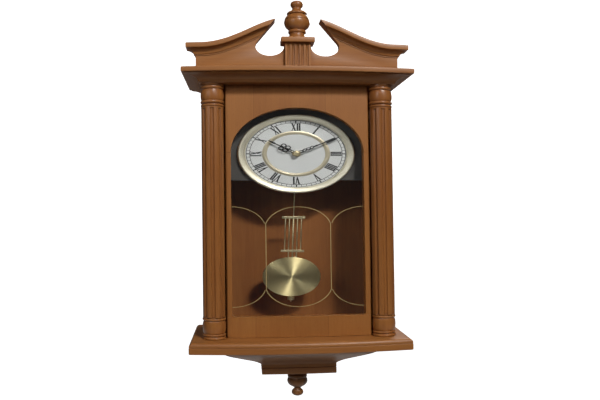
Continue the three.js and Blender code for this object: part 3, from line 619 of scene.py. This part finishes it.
mitred("base_moulding_wood", "base_moulding", (
    [(143.6, 142.1, -284.5), (144.5, 143, -283.6)], [(144.5, 143, -273)],
    [(144.3, 142.8, -272.4), (143.9, 142.4, -272)],
    [(144.3, 142.8, -270.9), (144.4, 142.9, -269.4), (143.9, 142.4, -267.2), (142.5, 141, -264.9),
     (141, 139.5, -263.6), (139.6, 138.1, -263)],
), corner=1.6)
mitred("crown_moulding_wood", "crown_moulding", (
    [(129.5, 122.5, 241), (129.5, 122.5, 242.6)], [(130.5, 123.5, 243.2)],
    [(131.2, 124.2, 246.6), (133.6, 126.6, 249.8), (137.6, 130.6, 252.6),
     (142, 135, 254.4), (146, 139, 255.3)],
    [(147.5, 141, 255.7)], [(147.5, 141, 257.1)],
), corner=0.8)
mitred("cornice_wood", "cornice_board", (
    [(150.4, 144.2, 257.3), (151.2, 145, 257.8), (151.4, 145.2, 258.6)], [(151.4, 145.2, 265.4)],
    [(151.1, 144.9, 266.5), (150.2, 144, 267)],
), corner=1.4)
mitred("bracket_corbel_wood", "bracket_corbel", (
    [(50.4, 86, -322.3), (51, 86.6, -320.8), (54.4, 89.2, -317.4), (62, 94.6, -312), (77, 105, -304.4),
     (92.8, 116, -296.2), (100, 121.6, -290.8), (103, 124, -288), (103.5, 124.5, -286.4)],
    [(103.5, 124.5, -284.7)],
), corner=1.2)
mitred("bracket_block_wood", "bracket_block", (
    [(49.6, 85.1, -342), (50.3, 85.8, -341.7), (50.6, 86.1, -341)], [(50.6, 86.1, -329.7)],
    [(49.5, 85, -329.4), (49.2, 84.7, -328.9), (49.5, 85, -328.4), (50.6, 86.1, -328.1)],
    [(50.6, 86.1, -322.5)],
), corner=1.0)
mitred("plinth_cap_wood", "plinth_cap", (
    [(21.1, 27.3, 315.7), (21.6, 27.8, 316), (21.8, 28, 316.6)], [(21.8, 28, 324.6)],
    [(21.5, 27.7, 325.4), (20.8, 27, 325.8)],
), corner=0.9)


# ---- columns ----
SHAFT_R = 14.9
SHAFT_TOP = 194.8
FLUTES = 8
FLUTE_R = 3.0
FLUTE_REACH = SHAFT_R + 1.0  # from the shaft's axis to a flute's
FLUTE_END, FLUTE_TOP = -218.3, 191.8
R = 15.8  # the widest turning
BASE_TURNING = (
    [(0, -262.8), (R - 1.4, -262.8)], [(R - 0.3, -262), (R, -260.5), (R - 0.4, -259), (R - 1.5, -258)],
    [(R - 2.1, -257.2), (R - 1.9, -256.4)],
    [(R - 0.6, -255.5), (R - 0.2, -254.3), (R - 0.6, -253), (R - 1.9, -252.1)],
    [(R - 1.1, -249.6), (R - 0.5, -244.6), (R - 0.3, -239), (R - 0.6, -233), (R - 1.2, -229),
     (R - 2, -226.7)],
    [(R - 0.6, -225.5), (R - 0.2, -223.9), (R - 0.6, -222.3), (R - 1.9, -221.3)],
    [(R - 1.9, -220.4), (SHAFT_R, -219.2)],
)
TOP_TURNING = (
    [(SHAFT_R, 195), (R - 1.8, 195.3)], [(R - 0.9, 195.9), (R - 0.4, 197.7), (R - 0.9, 199.6),
                                         (R - 2.2, 200.3)],
    [(R - 2.4, 200.9), (R - 2, 201.5)],
    [(R - 0.6, 202.6), (R - 0.1, 204.6), (R - 0.5, 206.6), (R - 1.8, 207.8)],
    [(R - 1, 210), (R - 0.5, 213.4), (R - 0.3, 217.4), (R - 0.5, 222), (R - 1.1, 227),
     (R - 2, 230.2)],
    [(R - 0.7, 230.9), (R - 0.1, 232.4), (R, 234), (R - 0.5, 235.6), (R - 1.6, 236.4)],
    [(R - 0.6, 236.9), (R - 0.1, 238), (R, 239)], [(R, 240.8)], [(0, 240.8)],
)


def flute_angles():
    """Angles round the shaft, closer together inside each flute and at its edges."""
    edge = degrees(acos((FLUTE_REACH ** 2 + SHAFT_R ** 2 - FLUTE_R ** 2)
                                  / (2 * FLUTE_REACH * SHAFT_R)))
    offsets = [-22.5, -16.5, -edge - 0.6, -edge, -0.92 * edge, -0.78 * edge, -0.5 * edge, -0.25 * edge, 0.0]
    offsets += [-o for o in reversed(offsets[1:-1])]
    return [(radians(360 / FLUTES * k + o), radians(o)) for k in range(FLUTES) for o in offsets]


def fluted_radius(off, z):
    """The shaft's radius at height z, at the angle off from the middle of a flute."""
    if z > FLUTE_TOP:
        return SHAFT_R
    below = max(0.0, FLUTE_END - z)
    cutter = sqrt(max(0.0, FLUTE_R ** 2 - below ** 2))
    across = FLUTE_REACH * sin(off)
    if abs(across) >= cutter:
        return SHAFT_R
    return min(SHAFT_R, FLUTE_REACH * cos(off) - sqrt(cutter ** 2 - across ** 2))


def column(side):
    low, high = node_box(f"column_{side}")
    cx, cy = (low.x + high.x) / 2, (low.y + high.y) / 2
    angles = flute_angles()

    def ring(z, radius_at):
        return [(cx + radius_at(o) * cos(a), cy + radius_at(o) * sin(a), z) for a, o in angles]

    run_out = [FLUTE_END - FLUTE_R * cos(radians(10 * k)) for k in range(3, 10)]
    rings = [ring(z, lambda _: r) for r, z in profile(*BASE_TURNING)]
    for z in (*run_out, FLUTE_TOP, FLUTE_TOP + 0.2, SHAFT_TOP):
        rings.append(ring(z, lambda o: fluted_radius(o, z)))
    rings += [ring(z, lambda _: r) for r, z in profile(*TOP_TURNING)[1:]]
    bm = bmesh.new()
    loft(bm, rings)
    finish_piece(f"column_{side}_turned", bm, "case", wood_turned, [f"column_{side}"], sharp=30)


column("left")
column("right")

turned("bottom_finial_turned", "bottom_finial", profile(
    [(0, -401), (2.6, -400.8), (5.4, -399.4), (7.6, -396.8), (8.3, -393.2), (7.4, -389.4), (5.4, -386.4),
     (4.7, -384.6),
     (5.4, -382.8), (8.4, -380.4), (12.2, -376.4), (14.2, -370.8), (13.9, -365.6), (12.7, -362.8)],
    [(12.4, -362.2), (13.2, -361.4), (13.6, -360), (13.6, -357.4), (13, -355.8), (11.6, -354.8)],
    [(11, -352.6), (10.9, -350), (11.6, -347.2), (12.6, -345.4)],
    [(13, -344.6), (13, -342.2)], [(0, -342.2)]), "case", wood_painted_shade)
turned("top_finial_turned", "top_finial", profile(
    [(0, 326), (12.3, 326)], [(12.4, 326.8), (11.7, 329), (10.7, 332), (10.2, 334.6), (10.3, 336.6)],
    [(11.4, 337.4), (11.9, 338.9), (11.9, 340.6), (11.3, 342.2), (10.5, 343.3)],
    [(12.4, 345.5), (14.8, 348.9), (16.4, 353), (17.1, 357.4), (17, 360.6), (16.6, 362.4)],
    [(15.9, 362.9), (16.5, 363.5)], [(16, 366), (14.7, 369.4), (12.9, 372.2), (11.8, 373.6)],
    [(13, 374.4), (13.4, 375.9), (12.9, 377.6), (11.6, 379.2)],
    [(8.8, 381), (6.9, 383.2), (6.1, 386), (6.5, 388.3), (7.6, 390.5), (8.4, 393.6), (8, 397), (6.6, 399.4),
     (4.2, 400.7), (0, 401.1)]), "case", wood_turned)


# ---- pediment ----
PEDIMENT_FRONT = -125.0
PEDIMENT_BACK = -113.0
PEDIMENT_HALF_W = 133.5
SCROLL_FLAT = 316.0  # height of a scroll's level outer end
SCROLL_DROP = 22.8  # how tall the scroll's moulding is
SCROLL_TIP = (-29.3, 360.4)
CUTOUT = (-36.3, 310.8, 18.6)  # x, z and radius of the round cut-out under a scroll


def bezier(p0, p1, p2, p3, steps):
    out = []
    for k in range(steps + 1):
        t = k / steps
        out.append(tuple((1 - t) ** 3 * a + 3 * (1 - t) ** 2 * t * b + 3 * (1 - t) * t * t * c + t ** 3 * d
                         for a, b, c, d in zip(p0, p1, p2, p3)))
    return out


SWAN_NECK = [(-PEDIMENT_HALF_W, SCROLL_FLAT),
             *bezier((-128, SCROLL_FLAT), (-88, 314.4), (-58, 351.4), SCROLL_TIP, 40)]


def throat_angle():
    """Where the line from the swan-neck's tip touches the round cut-out, in degrees on that circle."""
    away = (SCROLL_TIP[0] - CUTOUT[0], SCROLL_TIP[1] - CUTOUT[1])
    return degrees(atan2(away[1], away[0]) + acos(CUTOUT[2] / hypot(*away)))


def tympanum(side):
    sign = -1 if side == "left" else 1
    low, high = node_box(f"tympanum_{side}")
    inner = min(abs(low.x), abs(high.x))
    edge_x = PEDIMENT_HALF_W - 0.2
    outline = [(-edge_x, low.z), *[(max(x, -edge_x), z - 0.2) for x, z in SWAN_NECK],
               *arc(*CUTOUT, throat_angle(), 360, 64), (-inner, CUTOUT[1]), (-inner, low.z)]
    bm = bmesh.new()
    plate(bm, [[(-sign * x, z) for x, z in outline]], low.y, high.y, 0.5)
    finish_piece(f"tympanum_{side}_board", bm, "case", wood_x, [f"tympanum_{side}"])


def scroll_moulding(side):
    sign = -1 if side == "left" else 1
    P = 12.0  # how far the moulding stands out from the board
    section = profile(
        [(0, 0), (P - 1, 0)], [(P - 0.3, 0.2), (P, 0.9)], [(P, 8.9)],
        [(P - 0.2, 9.5), (P - 0.9, 9.8)], [(P - 1.7, 9.9)],
        [(P - 3.6, 10.7), (P - 6, 12.3), (P - 7.9, 14.5), (P - 9.1, 17), (P - 9.8, 20)],
        [(0.9, 20.5)], [(0.9, SCROLL_DROP)], [(0, SCROLL_DROP)])
    stations = [(x, PEDIMENT_FRONT, z, 0, -1) for x, z in reversed(SWAN_NECK[1:])]
    outer_x, outer_z = SWAN_NECK[0]
    stations += [(outer_x + 0.6, PEDIMENT_FRONT, outer_z, 0, -1), (outer_x, PEDIMENT_FRONT, outer_z, -1, -1),
                 (outer_x, PEDIMENT_FRONT + 0.6, outer_z, -1, 0), (outer_x, PEDIMENT_BACK, outer_z, -1, 0)]
    bm = bmesh.new()
    loft(bm, [[(-sign * (x + ox * d), y + oy * d, z - h) for d, h in section]
              for x, y, z, ox, oy in stations])
    tidy(bm)
    angle = radians(throat_angle())
    trim(bm, (-sign * SCROLL_TIP[0], 0, SCROLL_TIP[1]), (sign * cos(angle), 0, -sin(angle)))
    by_side(bm)
    finish_piece(f"scroll_moulding_{side}_wood", bm, "case", [wood_x, wood_y],
                 [f"scroll_moulding_{side}"])


def trim(bm, point, away):
    """Cuts off what lies beyond a plane through point, on the side `away` points to, and closes the cut."""
    cut = bmesh.ops.bisect_plane(bm, geom=bm.verts[:] + bm.edges[:] + bm.faces[:], plane_co=point,
                                 plane_no=away, clear_outer=True)
    rim = [e for e in cut["geom_cut"] if isinstance(e, bmesh.types.BMEdge) and e.is_boundary]
    bmesh.ops.contextual_create(bm, geom=rim)


for side in ("left", "right"):
    tympanum(side)
    scroll_moulding(side)
softened("plinth_fluted", "plinth", wood_z, 0.35, segments=2)


# ---- door ----
for rail in ("door_top_rail", "door_bottom_rail", "door_stile_left", "door_stile_right"):
    softened(f"{rail}_veneer", rail, wood_door, 0.7)
softened("glass_bead", "glass_retainer", wood_door, 0.5)


def gold_lines():
    """A middle cartouche and two half ones at the sides, in thin lines on the front of the glass."""
    front = node_box("door_glass")[0].y
    y0, y1 = front - 0.05, front - 0.01
    edge_x = 89.0
    mid = 43.9
    joint_top, joint_bottom = -37.0, -170.0
    rise = 33.7
    width = 0.8
    radius = (mid * mid + rise * rise) / (2 * rise)
    half_turn = degrees(asin(mid / radius))
    top = arc(0, joint_top + rise - radius, radius, 90 + half_turn, 90 - half_turn, 48)
    bottom = arc(0, joint_bottom - rise + radius, radius, -90 + half_turn, -90 - half_turn, 48)
    half_way = (joint_top + joint_bottom) / 2
    inner = [(x * (1 - width / mid), z + (width if z < half_way else -width)) for x, z in top + bottom]
    bm = bmesh.new()
    plate(bm, [top + bottom, inner], y0, y1)
    quarter = arc(edge_x, joint_top + rise - radius, radius, 90, 90 + half_turn, 32)
    for sign in (-1, 1):
        plate(bm, [ribbon([(sign * x, z) for x, z in quarter], width)], y0, y1)
        plate(bm, [ribbon([(sign * x, joint_top + joint_bottom - z) for x, z in quarter], width)], y0, y1)
    finish_piece("glass_gold_lines", bm, "door", gold_print)


gold_lines()


# ---- dial ----
def on_dial(points, turn):
    """Points (across, outwards) drawn at 12 o'clock, turned clockwise about the dial's centre."""
    c, s = cos(turn), sin(turn)
    return [(DIAL.x + u * c + v * s, DIAL.z - u * s + v * c) for u, v in points]


def meet(p, q, r, s):
    """Where the line through p and q crosses the line through r and s."""
    d1 = (q[0] - p[0], q[1] - p[1])
    d2 = (s[0] - r[0], s[1] - r[1])
    t = ((r[0] - p[0]) * d2[1] - (r[1] - p[1]) * d2[0]) / (d1[0] * d2[1] - d1[1] * d2[0])
    return (p[0] + t * d1[0], p[1] + t * d1[1])


NUMERAL_H = 15.3
NUMERAL_FOOT = 47.6  # from the dial's centre to the foot of a numeral
SERIF = 0.42  # thickness of a serif
CAP = NUMERAL_H - SERIF


def glyph_one(x):
    H, stem, foot = NUMERAL_H, 1.15, 1.6
    half = [(foot, 0), (foot, SERIF), (stem, SERIF + 0.35), (stem, CAP - 0.35), (foot, CAP), (foot, H)]
    return [(x + u, v) for u, v in half] + [(x - u, v) for u, v in reversed(half)]


def glyph_five(x):
    H = NUMERAL_H
    inner = meet((-0.9, H), (1.4, 0), (1.6, H), (-0.1, 0))
    points = [(-4.1, H), (-0.3, H), (-0.3, CAP), (-0.9, CAP - 0.3), inner, (1.6, CAP - 0.3),
              (0.9, CAP), (0.9, H), (3.8, H), (3.8, CAP), (2.9, CAP - 0.3), (0.75, 0), (-0.3, 0),
              (-3.3, CAP - 0.3), (-4.1, CAP)]
    return [(x + u, v) for u, v in points]


def glyph_ten(x):
    H = NUMERAL_H
    thick_l, thick_r = ((-3.2, H), (0.9, 0)), ((-0.9, H), (3.2, 0))
    thin_l, thin_r = ((1.8, H), (-2.9, 0)), ((2.9, H), (-1.8, 0))
    points = [(-3.9, H), (-0.3, H), (-0.3, CAP), (-0.85, CAP - 0.3), meet(*thick_r, *thin_l),
              (1.75, CAP - 0.3), (1.1, CAP), (1.1, H), (3.8, H), (3.8, CAP), (2.8, CAP - 0.3),
              meet(*thick_r, *thin_r), (3.1, SERIF + 0.3), (3.9, SERIF), (3.9, 0), (0.3, 0), (0.3, SERIF),
              (0.85, SERIF + 0.3), meet(*thick_l, *thin_r), (-1.75, SERIF + 0.3), (-1.1, SERIF), (-1.1, 0),
              (-3.8, 0),
              (-3.8, SERIF), (-2.8, SERIF + 0.3), meet(*thick_l, *thin_l), (-3.1, CAP - 0.3), (-3.9, CAP)]
    return [(x + u, v) for u, v in points]


GLYPHS = {"I": (glyph_one, 2.95), "V": (glyph_five, 7.3), "X": (glyph_ten, 7.7)}  # with the room each takes
NUMERALS = ("XII", "I", "II", "III", "IIII", "V", "VI", "VII", "VIII", "IX", "X", "XI")


def dial_print():
    front = node_box("dial_plate")[0].y
    y0, y1 = front - 0.05, front - 0.01
    bm = bmesh.new()
    for hour, text in enumerate(NUMERALS):
        turn = tau * hour / 12
        x = -sum(GLYPHS[c][1] for c in text) / 2
        for c in text:
            draw, advance = GLYPHS[c]
            outline = [(u, v + NUMERAL_FOOT) for u, v in draw(x + advance / 2)]
            plate(bm, [on_dial(outline, turn)], y0, y1)
            x += advance
    inner, outer, line = 64.2, 68.9, 0.8
    for r in (inner, outer):
        plate(bm, [circle(DIAL.x, DIAL.z, r, 180), circle(DIAL.x, DIAL.z, r - line, 180)], y0, y1)
    for minute in range(60):
        half = 0.9 if minute % 5 == 0 else 0.32
        bar = [(-half, inner), (half, inner), (half, outer - line), (-half, outer - line)]
        plate(bm, [on_dial(bar, tau * minute / 60)], y0, y1)
    finish_piece("dial_numerals", bm, "case", dial_ink)


dial_print()
turned("dial_plate_disc", "dial_plate", profile(
    [(4.3, 0.8), (4.3, 0)], [(73.2, 0)], [(73.5, 0.3)], [(73.5, 0.8)], [(4.3, 0.8)]
)[:-1], "case", dial_paper, axis="Y", segments=160, closed=True)
turned("chapter_ring_gilt", "chapter_ring", profile(
    [(40.2, 0.8), (40.2, 0.55), (40.6, 0.3), (41.4, 0.2)], [(41.9, 0.34)],
    [(42.6, 0.1), (43.6, 0.0), (44.8, 0.05), (45.9, 0.25)],
    [(46.3, 0.4), (46.8, 0.55), (46.8, 0.8)], [(40.2, 0.8)]
)[:-1], "case", ring_gilt, axis="Y", segments=200, closed=True)


def bezel():
    back = node_box("dial_bezel")[1].y
    face = node_box("dial_plate")[0].y - 0.2
    inner = 69.5
    points = profile(
        [(inner, face), (inner, face - 1.3)],
        [(inner + 0.3, face - 2.1), (inner + 1.1, face - 2.4), (inner + 1.8, face - 2.1)],
        [(inner + 2.1, face - 2.7)],
        [(74, face - 3.9), (76.6, face - 5), (78.6, face - 5.5), (79.9, face - 5),
         (80.7, face - 3.8), (81, face - 2)],
        [(81, back)], [(76, back)], [(76, face)],
        [(inner, face)])[:-1]
    bm = bmesh.new()
    loft(bm, lathe_rings(points, 240, DIAL, "Y"), closed=True)
    finish_piece("dial_bezel_spun", bm, "case", gilt, ["dial_bezel"])


bezel()


# ---- hands ----
HAND_EDGE = 0.08


def oval(cv, half_u, half_v, cu=0.0, lean=0.0, steps=28):
    """Points (u, v) on an ellipse about (cu, cv), leant over by an angle."""
    c, s = cos(lean), sin(lean)
    turns = [tau * k / steps for k in range(steps)]
    points = [(half_u * cos(a), half_v * sin(a)) for a in turns]
    return [(cu + u * c - v * s, cv + u * s + v * c) for u, v in points]


def loop(bm, y0, y1, turn, cv, half_u, half_v, wire, cu=0.0, lean=0.0):
    """An oval ring of wire, drawn at 12 o'clock with its middle at (cu, cv)."""
    outer = oval(cv, half_u, half_v, cu, lean)
    inner = oval(cv, half_u - wire, half_v - wire, cu, lean)
    plate(bm, [on_dial(outer, turn), on_dial(inner, turn)], y0, y1, HAND_EDGE)


def eye(bm, y0, y1, turn, radius, hole):
    """The round boss of a hand about its arbor."""
    outlines = oval(0, radius, radius, steps=48), oval(0, hole, hole, steps=32)
    plate(bm, [on_dial(o, turn) for o in outlines], y0, y1, HAND_EDGE)


def blade(bm, y0, y1, turn, right_side):
    """A flat blade, even about its middle line, from the points of its right side."""
    left_side = [(-u, v) for u, v in reversed(right_side)]
    plate(bm, [on_dial(right_side + left_side, turn)], y0, y1, HAND_EDGE)


def hands():
    low, high = node_box("hour_hand")
    bm = bmesh.new()
    where = bm, low.y, high.y, HOUR_TURN
    eye(*where, 4.6, 2.7)
    for cv in (6.6, 11.2):
        loop(*where, cv, 2.6, 3.0, 1.7)
    for cu, cv in ((-3.6, 16.2), (3.6, 16.2), (-3.6, 23.4), (3.6, 23.4)):
        loop(*where, cv, 3.9, 4.1, 1.75, cu)
    for cv in (15.2, 24.6):
        loop(*where, cv, 2.2, 2.8, 1.6)
    bar = [(-0.6, 13), (0.6, 13), (0.6, 28), (-0.6, 28)]
    plate(bm, [on_dial(bar, HOUR_TURN)], low.y, high.y, HAND_EDGE)
    blade(*where, [(1.05, 26), (0.95, 34), (1.5, 36.2), (1.9, 38.4), (1.4, 41.4), (0.45, 47)])
    finish_piece("hour_hand_serpentine", bm, "hour_hand", black_metal, ["hour_hand"])

    low, high = node_box("minute_hand")
    bm = bmesh.new()
    where = bm, low.y, high.y, MINUTE_TURN
    eye(*where, 4.2, 1.4)
    for k, cv in enumerate((7.2, 13.0, 18.8, 24.6)):
        loop(*where, cv, 2.7, 3.8, 1.75, lean=radians(20 if k % 2 else -20))
    blade(*where, [(1.1, 27.2), (1.0, 29.6), (1.8, 31.6), (1.1, 33.6), (0.95, 37), (1.1, 44), (1.35, 54),
                   (1.1, 60), (0.35, 66.8)])
    finish_piece("minute_hand_serpentine", bm, "minute_hand", black_metal, ["minute_hand"])


hands()
turned("hand_cap_dome", "hand_cap_nut", profile(
    [(0, 0), (1.3, 0.08), (2.6, 0.38), (3.8, 1.0), (4.7, 1.9), (5.3, 3.0)], [(5.4, 3.2), (5.4, 3.45)],
    [(1.4, 3.45)], [(1.4, 2.6)], [(0, 2.6)]),
    "minute_hand", brass, axis="Y", segments=64)


# ---- pendulum ----
HUNG = Matrix.Translation(PIVOT) @ Matrix.Rotation(SWING, 4, "Y")


def gridiron():
    """Built hanging straight down from the pivot at the origin, then hung at its swing."""
    bm = bmesh.new()
    tube(bm, [(0, 0, -44.5), (0, 0.9, -42.6), (0, 2.2, -41.8), (0, 2.9, -43), (0, 2.7, -46.4),
              (0, 1.0, -48.8), (0, 0, -51),
              (0, 0, -106)], 0.8)
    pitch = 5.6
    for k, bottom in ((-2, -177), (2, -177), (-1, -206), (1, -206)):
        tube(bm, [(k * pitch, 0, -108), (k * pitch, 0, bottom)], 0.9, 16)
    tube(bm, [(0, 0, -108), (0, 0, -282.6)], 1.1, 16)
    for z0, z1 in ((-110.5, -105.5), (-180, -175.5)):
        block(bm, -16.2, 16.2, -1.1, 1.1, z0, z1, 0.5)
        for k in (-2, -1, 0, 1, 2):
            loft(bm, lathe_rings([(0, -1.45), (0.9, -1.4), (1.35, -1.15), (1.35, -1.0)], 16,
                                 (k * pitch, 0, (z0 + z1) / 2), "Y"))
    finish_piece("pendulum_gridiron_rods", bm, "pendulum", brass, ["pendulum_gridiron"], place=HUNG)


def bob():
    dome = 5.4
    points = profile(
        [(0, -dome - 1.6), (8, -dome - 1.4), (16, -dome - 0.7), (24, -dome + 0.5), (31, -dome + 1.95),
         (36, -dome + 3.2), (38.2, -dome + 3.85)],
        [(38.5, -dome + 4.15), (38.9, -dome + 3.9), (39.6, -dome + 3.95), (40.2, -dome + 4.3), (40.5, -0.6)],
        [(40.5, 0.9), (40, 1.6), (38.6, 2.2)], [(30, 2.7), (18, 3.2), (0, 3.4)], steps=6)
    bm = bmesh.new()
    loft(bm, lathe_rings(points, 256, (0, 0, -(PIVOT - BOB).length), "Y"))
    finish_piece("pendulum_bob_spun", bm, "pendulum", bob_brass, ["pendulum_bob"], place=HUNG)


def rating_nut():
    """A small round nut under the bob, knurled round its rim."""
    points = profile(
        [(1.4, -279.6), (4.2, -279.6)], [(4.7, -279.2), (4.9, -278.6)],
        [(4.9, -274)], [(4.7, -273.4), (4.2, -273)],
        [(1.4, -273)], [(1.4, -279.6)])[:-1]
    knurled = []
    for (r, _), ring in zip(points, lathe_rings(points, 96, (0, 0, 0), "Z")):
        depth = 0.16 if r > 4.8 else 0.0
        knurled.append([(x * (1 - depth * (k % 4 < 2) / r), y * (1 - depth * (k % 4 < 2) / r), z)
                        for k, (x, y, z) in enumerate(ring)])
    bm = bmesh.new()
    loft(bm, knurled, closed=True)
    finish_piece("rating_nut_knurled", bm, "rating_nut", brass, ["rating_nut"], place=HUNG)


gridiron()
bob()
rating_nut()


# ---- stage, light and camera ----
def stage_sheet(name, corners, material):
    """A flat sheet of the room round the clock, with its corners in metres."""
    bm = bmesh.new()
    bm.faces.new([bm.verts.new(c) for c in corners])
    mesh = bpy.data.meshes.new(name)
    bm.to_mesh(mesh)
    bm.free()
    mesh.materials.append(material)
    o = bpy.data.objects.new(name, mesh)
    scene.collection.objects.link(o)
    return o


FLOOR_Z = -2.4
CEILING_Z = 8.0
ROOM = 7.0  # from the middle to the front, left and right walls
BACKDROP_Y = 2.4
floor_paint = new_material("Floor", Roughness=0.9, Base_Color=(0.8, 0.8, 0.79, 1),
                           Emission_Color=(1, 1, 0.99, 1), Emission_Strength=0.5)[0]
wall_paint = new_material("Backdrop", Roughness=1.0, Base_Color=(0.9, 0.9, 0.9, 1),
                          Emission_Color=(1, 1, 1, 1), Emission_Strength=0.9)[0]
floor = stage_sheet("floor", [(-ROOM, -ROOM, FLOOR_Z), (ROOM, -ROOM, FLOOR_Z), (ROOM, ROOM, FLOOR_Z),
                              (-ROOM, ROOM, FLOOR_Z)], floor_paint)
floor.visible_diffuse = False
for wall, (x0, y0), (x1, y1) in (("backdrop", (-ROOM, BACKDROP_Y), (ROOM, BACKDROP_Y)),
                                 ("wall_front", (ROOM, -ROOM), (-ROOM, -ROOM)),
                                 ("wall_left", (-ROOM, -ROOM), (-ROOM, BACKDROP_Y)),
                                 ("wall_right", (ROOM, BACKDROP_Y), (ROOM, -ROOM))):
    corners = [(x0, y0, FLOOR_Z), (x1, y1, FLOOR_Z), (x1, y1, CEILING_Z), (x0, y0, CEILING_Z)]
    sheet = stage_sheet(wall, corners, wall_paint)
    sheet.visible_glossy = False
    sheet.visible_diffuse = False
    sheet.visible_shadow = False


def area_light(name, place, aim, size, power, colour):
    """A rectangular lamp: place, aim and size in metres, power in watts."""
    light = bpy.data.lights.new(name, "AREA")
    light.shape = "RECTANGLE"
    light.size, light.size_y = size
    light.energy = power
    light.color = colour
    o = bpy.data.objects.new(name, light)
    o.location = place
    o.rotation_euler = (Vector(aim) - Vector(place)).to_track_quat("-Z", "Y").to_euler()
    scene.collection.objects.link(o)


area_light("key", (1.0, -2.95, 2.75), (0, -0.08, 0.2), (0.35, 0.3), 66, (1.0, 0.985, 0.96))
area_light("top", (0.7, -1.85, 1.7), (0, -0.08, 0.1), (0.6, 0.25), 22, (1.0, 0.985, 0.96))
area_light("left_fill", (-1.4, -1.9, 1.1), (0, -0.08, 0), (0.9, 0.9), 13, (0.97, 0.985, 1.0))
area_light("right_fill", (1.4, -1.9, 1.1), (0, -0.08, 0), (0.9, 0.9), 5, (1.0, 0.98, 0.96))
area_light("back_fill", (0.9, 1.9, 1.6), (0, 0, 0), (1.0, 0.8), 32, (1.0, 0.99, 0.97))

world = bpy.data.worlds.new("Studio")
world.use_nodes = True
world.node_tree.nodes["Background"].inputs["Color"].default_value = (0.94, 0.96, 1.0, 1)
world.node_tree.nodes["Background"].inputs["Strength"].default_value = 0.06
scene.world = world
scene.view_settings.view_transform = "Standard"


CAMERA_PLACE = (-0.0715, -1.0046, -0.0057)
YAW, PITCH, ROLL = (radians(a) for a in (4.683, 0.981, 0.507))
HALF_VIEW = 0.4416  # the range of the projection each way from its middle, across and up


def photo_camera():
    """A cylindrical projection: evenly stretched sideways, as the photograph is, from where it was taken."""
    data = bpy.data.cameras.new("Camera")
    data.type = "PANO"
    data.panorama_type = "CENTRAL_CYLINDRICAL"
    data.central_cylindrical_range_u_min = data.central_cylindrical_range_v_min = -HALF_VIEW
    data.central_cylindrical_range_u_max = data.central_cylindrical_range_v_max = HALF_VIEW
    data.central_cylindrical_radius = 1
    camera = bpy.data.objects.new("Camera", data)
    ahead = Vector((sin(YAW) * cos(PITCH), cos(YAW) * cos(PITCH), sin(PITCH)))
    right = Vector((cos(YAW), -sin(YAW), 0))
    up = right.cross(ahead)
    x_axis = cos(ROLL) * right - sin(ROLL) * up
    y_axis = sin(ROLL) * right + cos(ROLL) * up
    turn = Matrix((x_axis, y_axis, -ahead)).transposed().to_4x4()
    camera.matrix_world = Matrix.Translation(CAMERA_PLACE) @ turn
    scene.collection.objects.link(camera)
    scene.camera = camera


photo_camera()
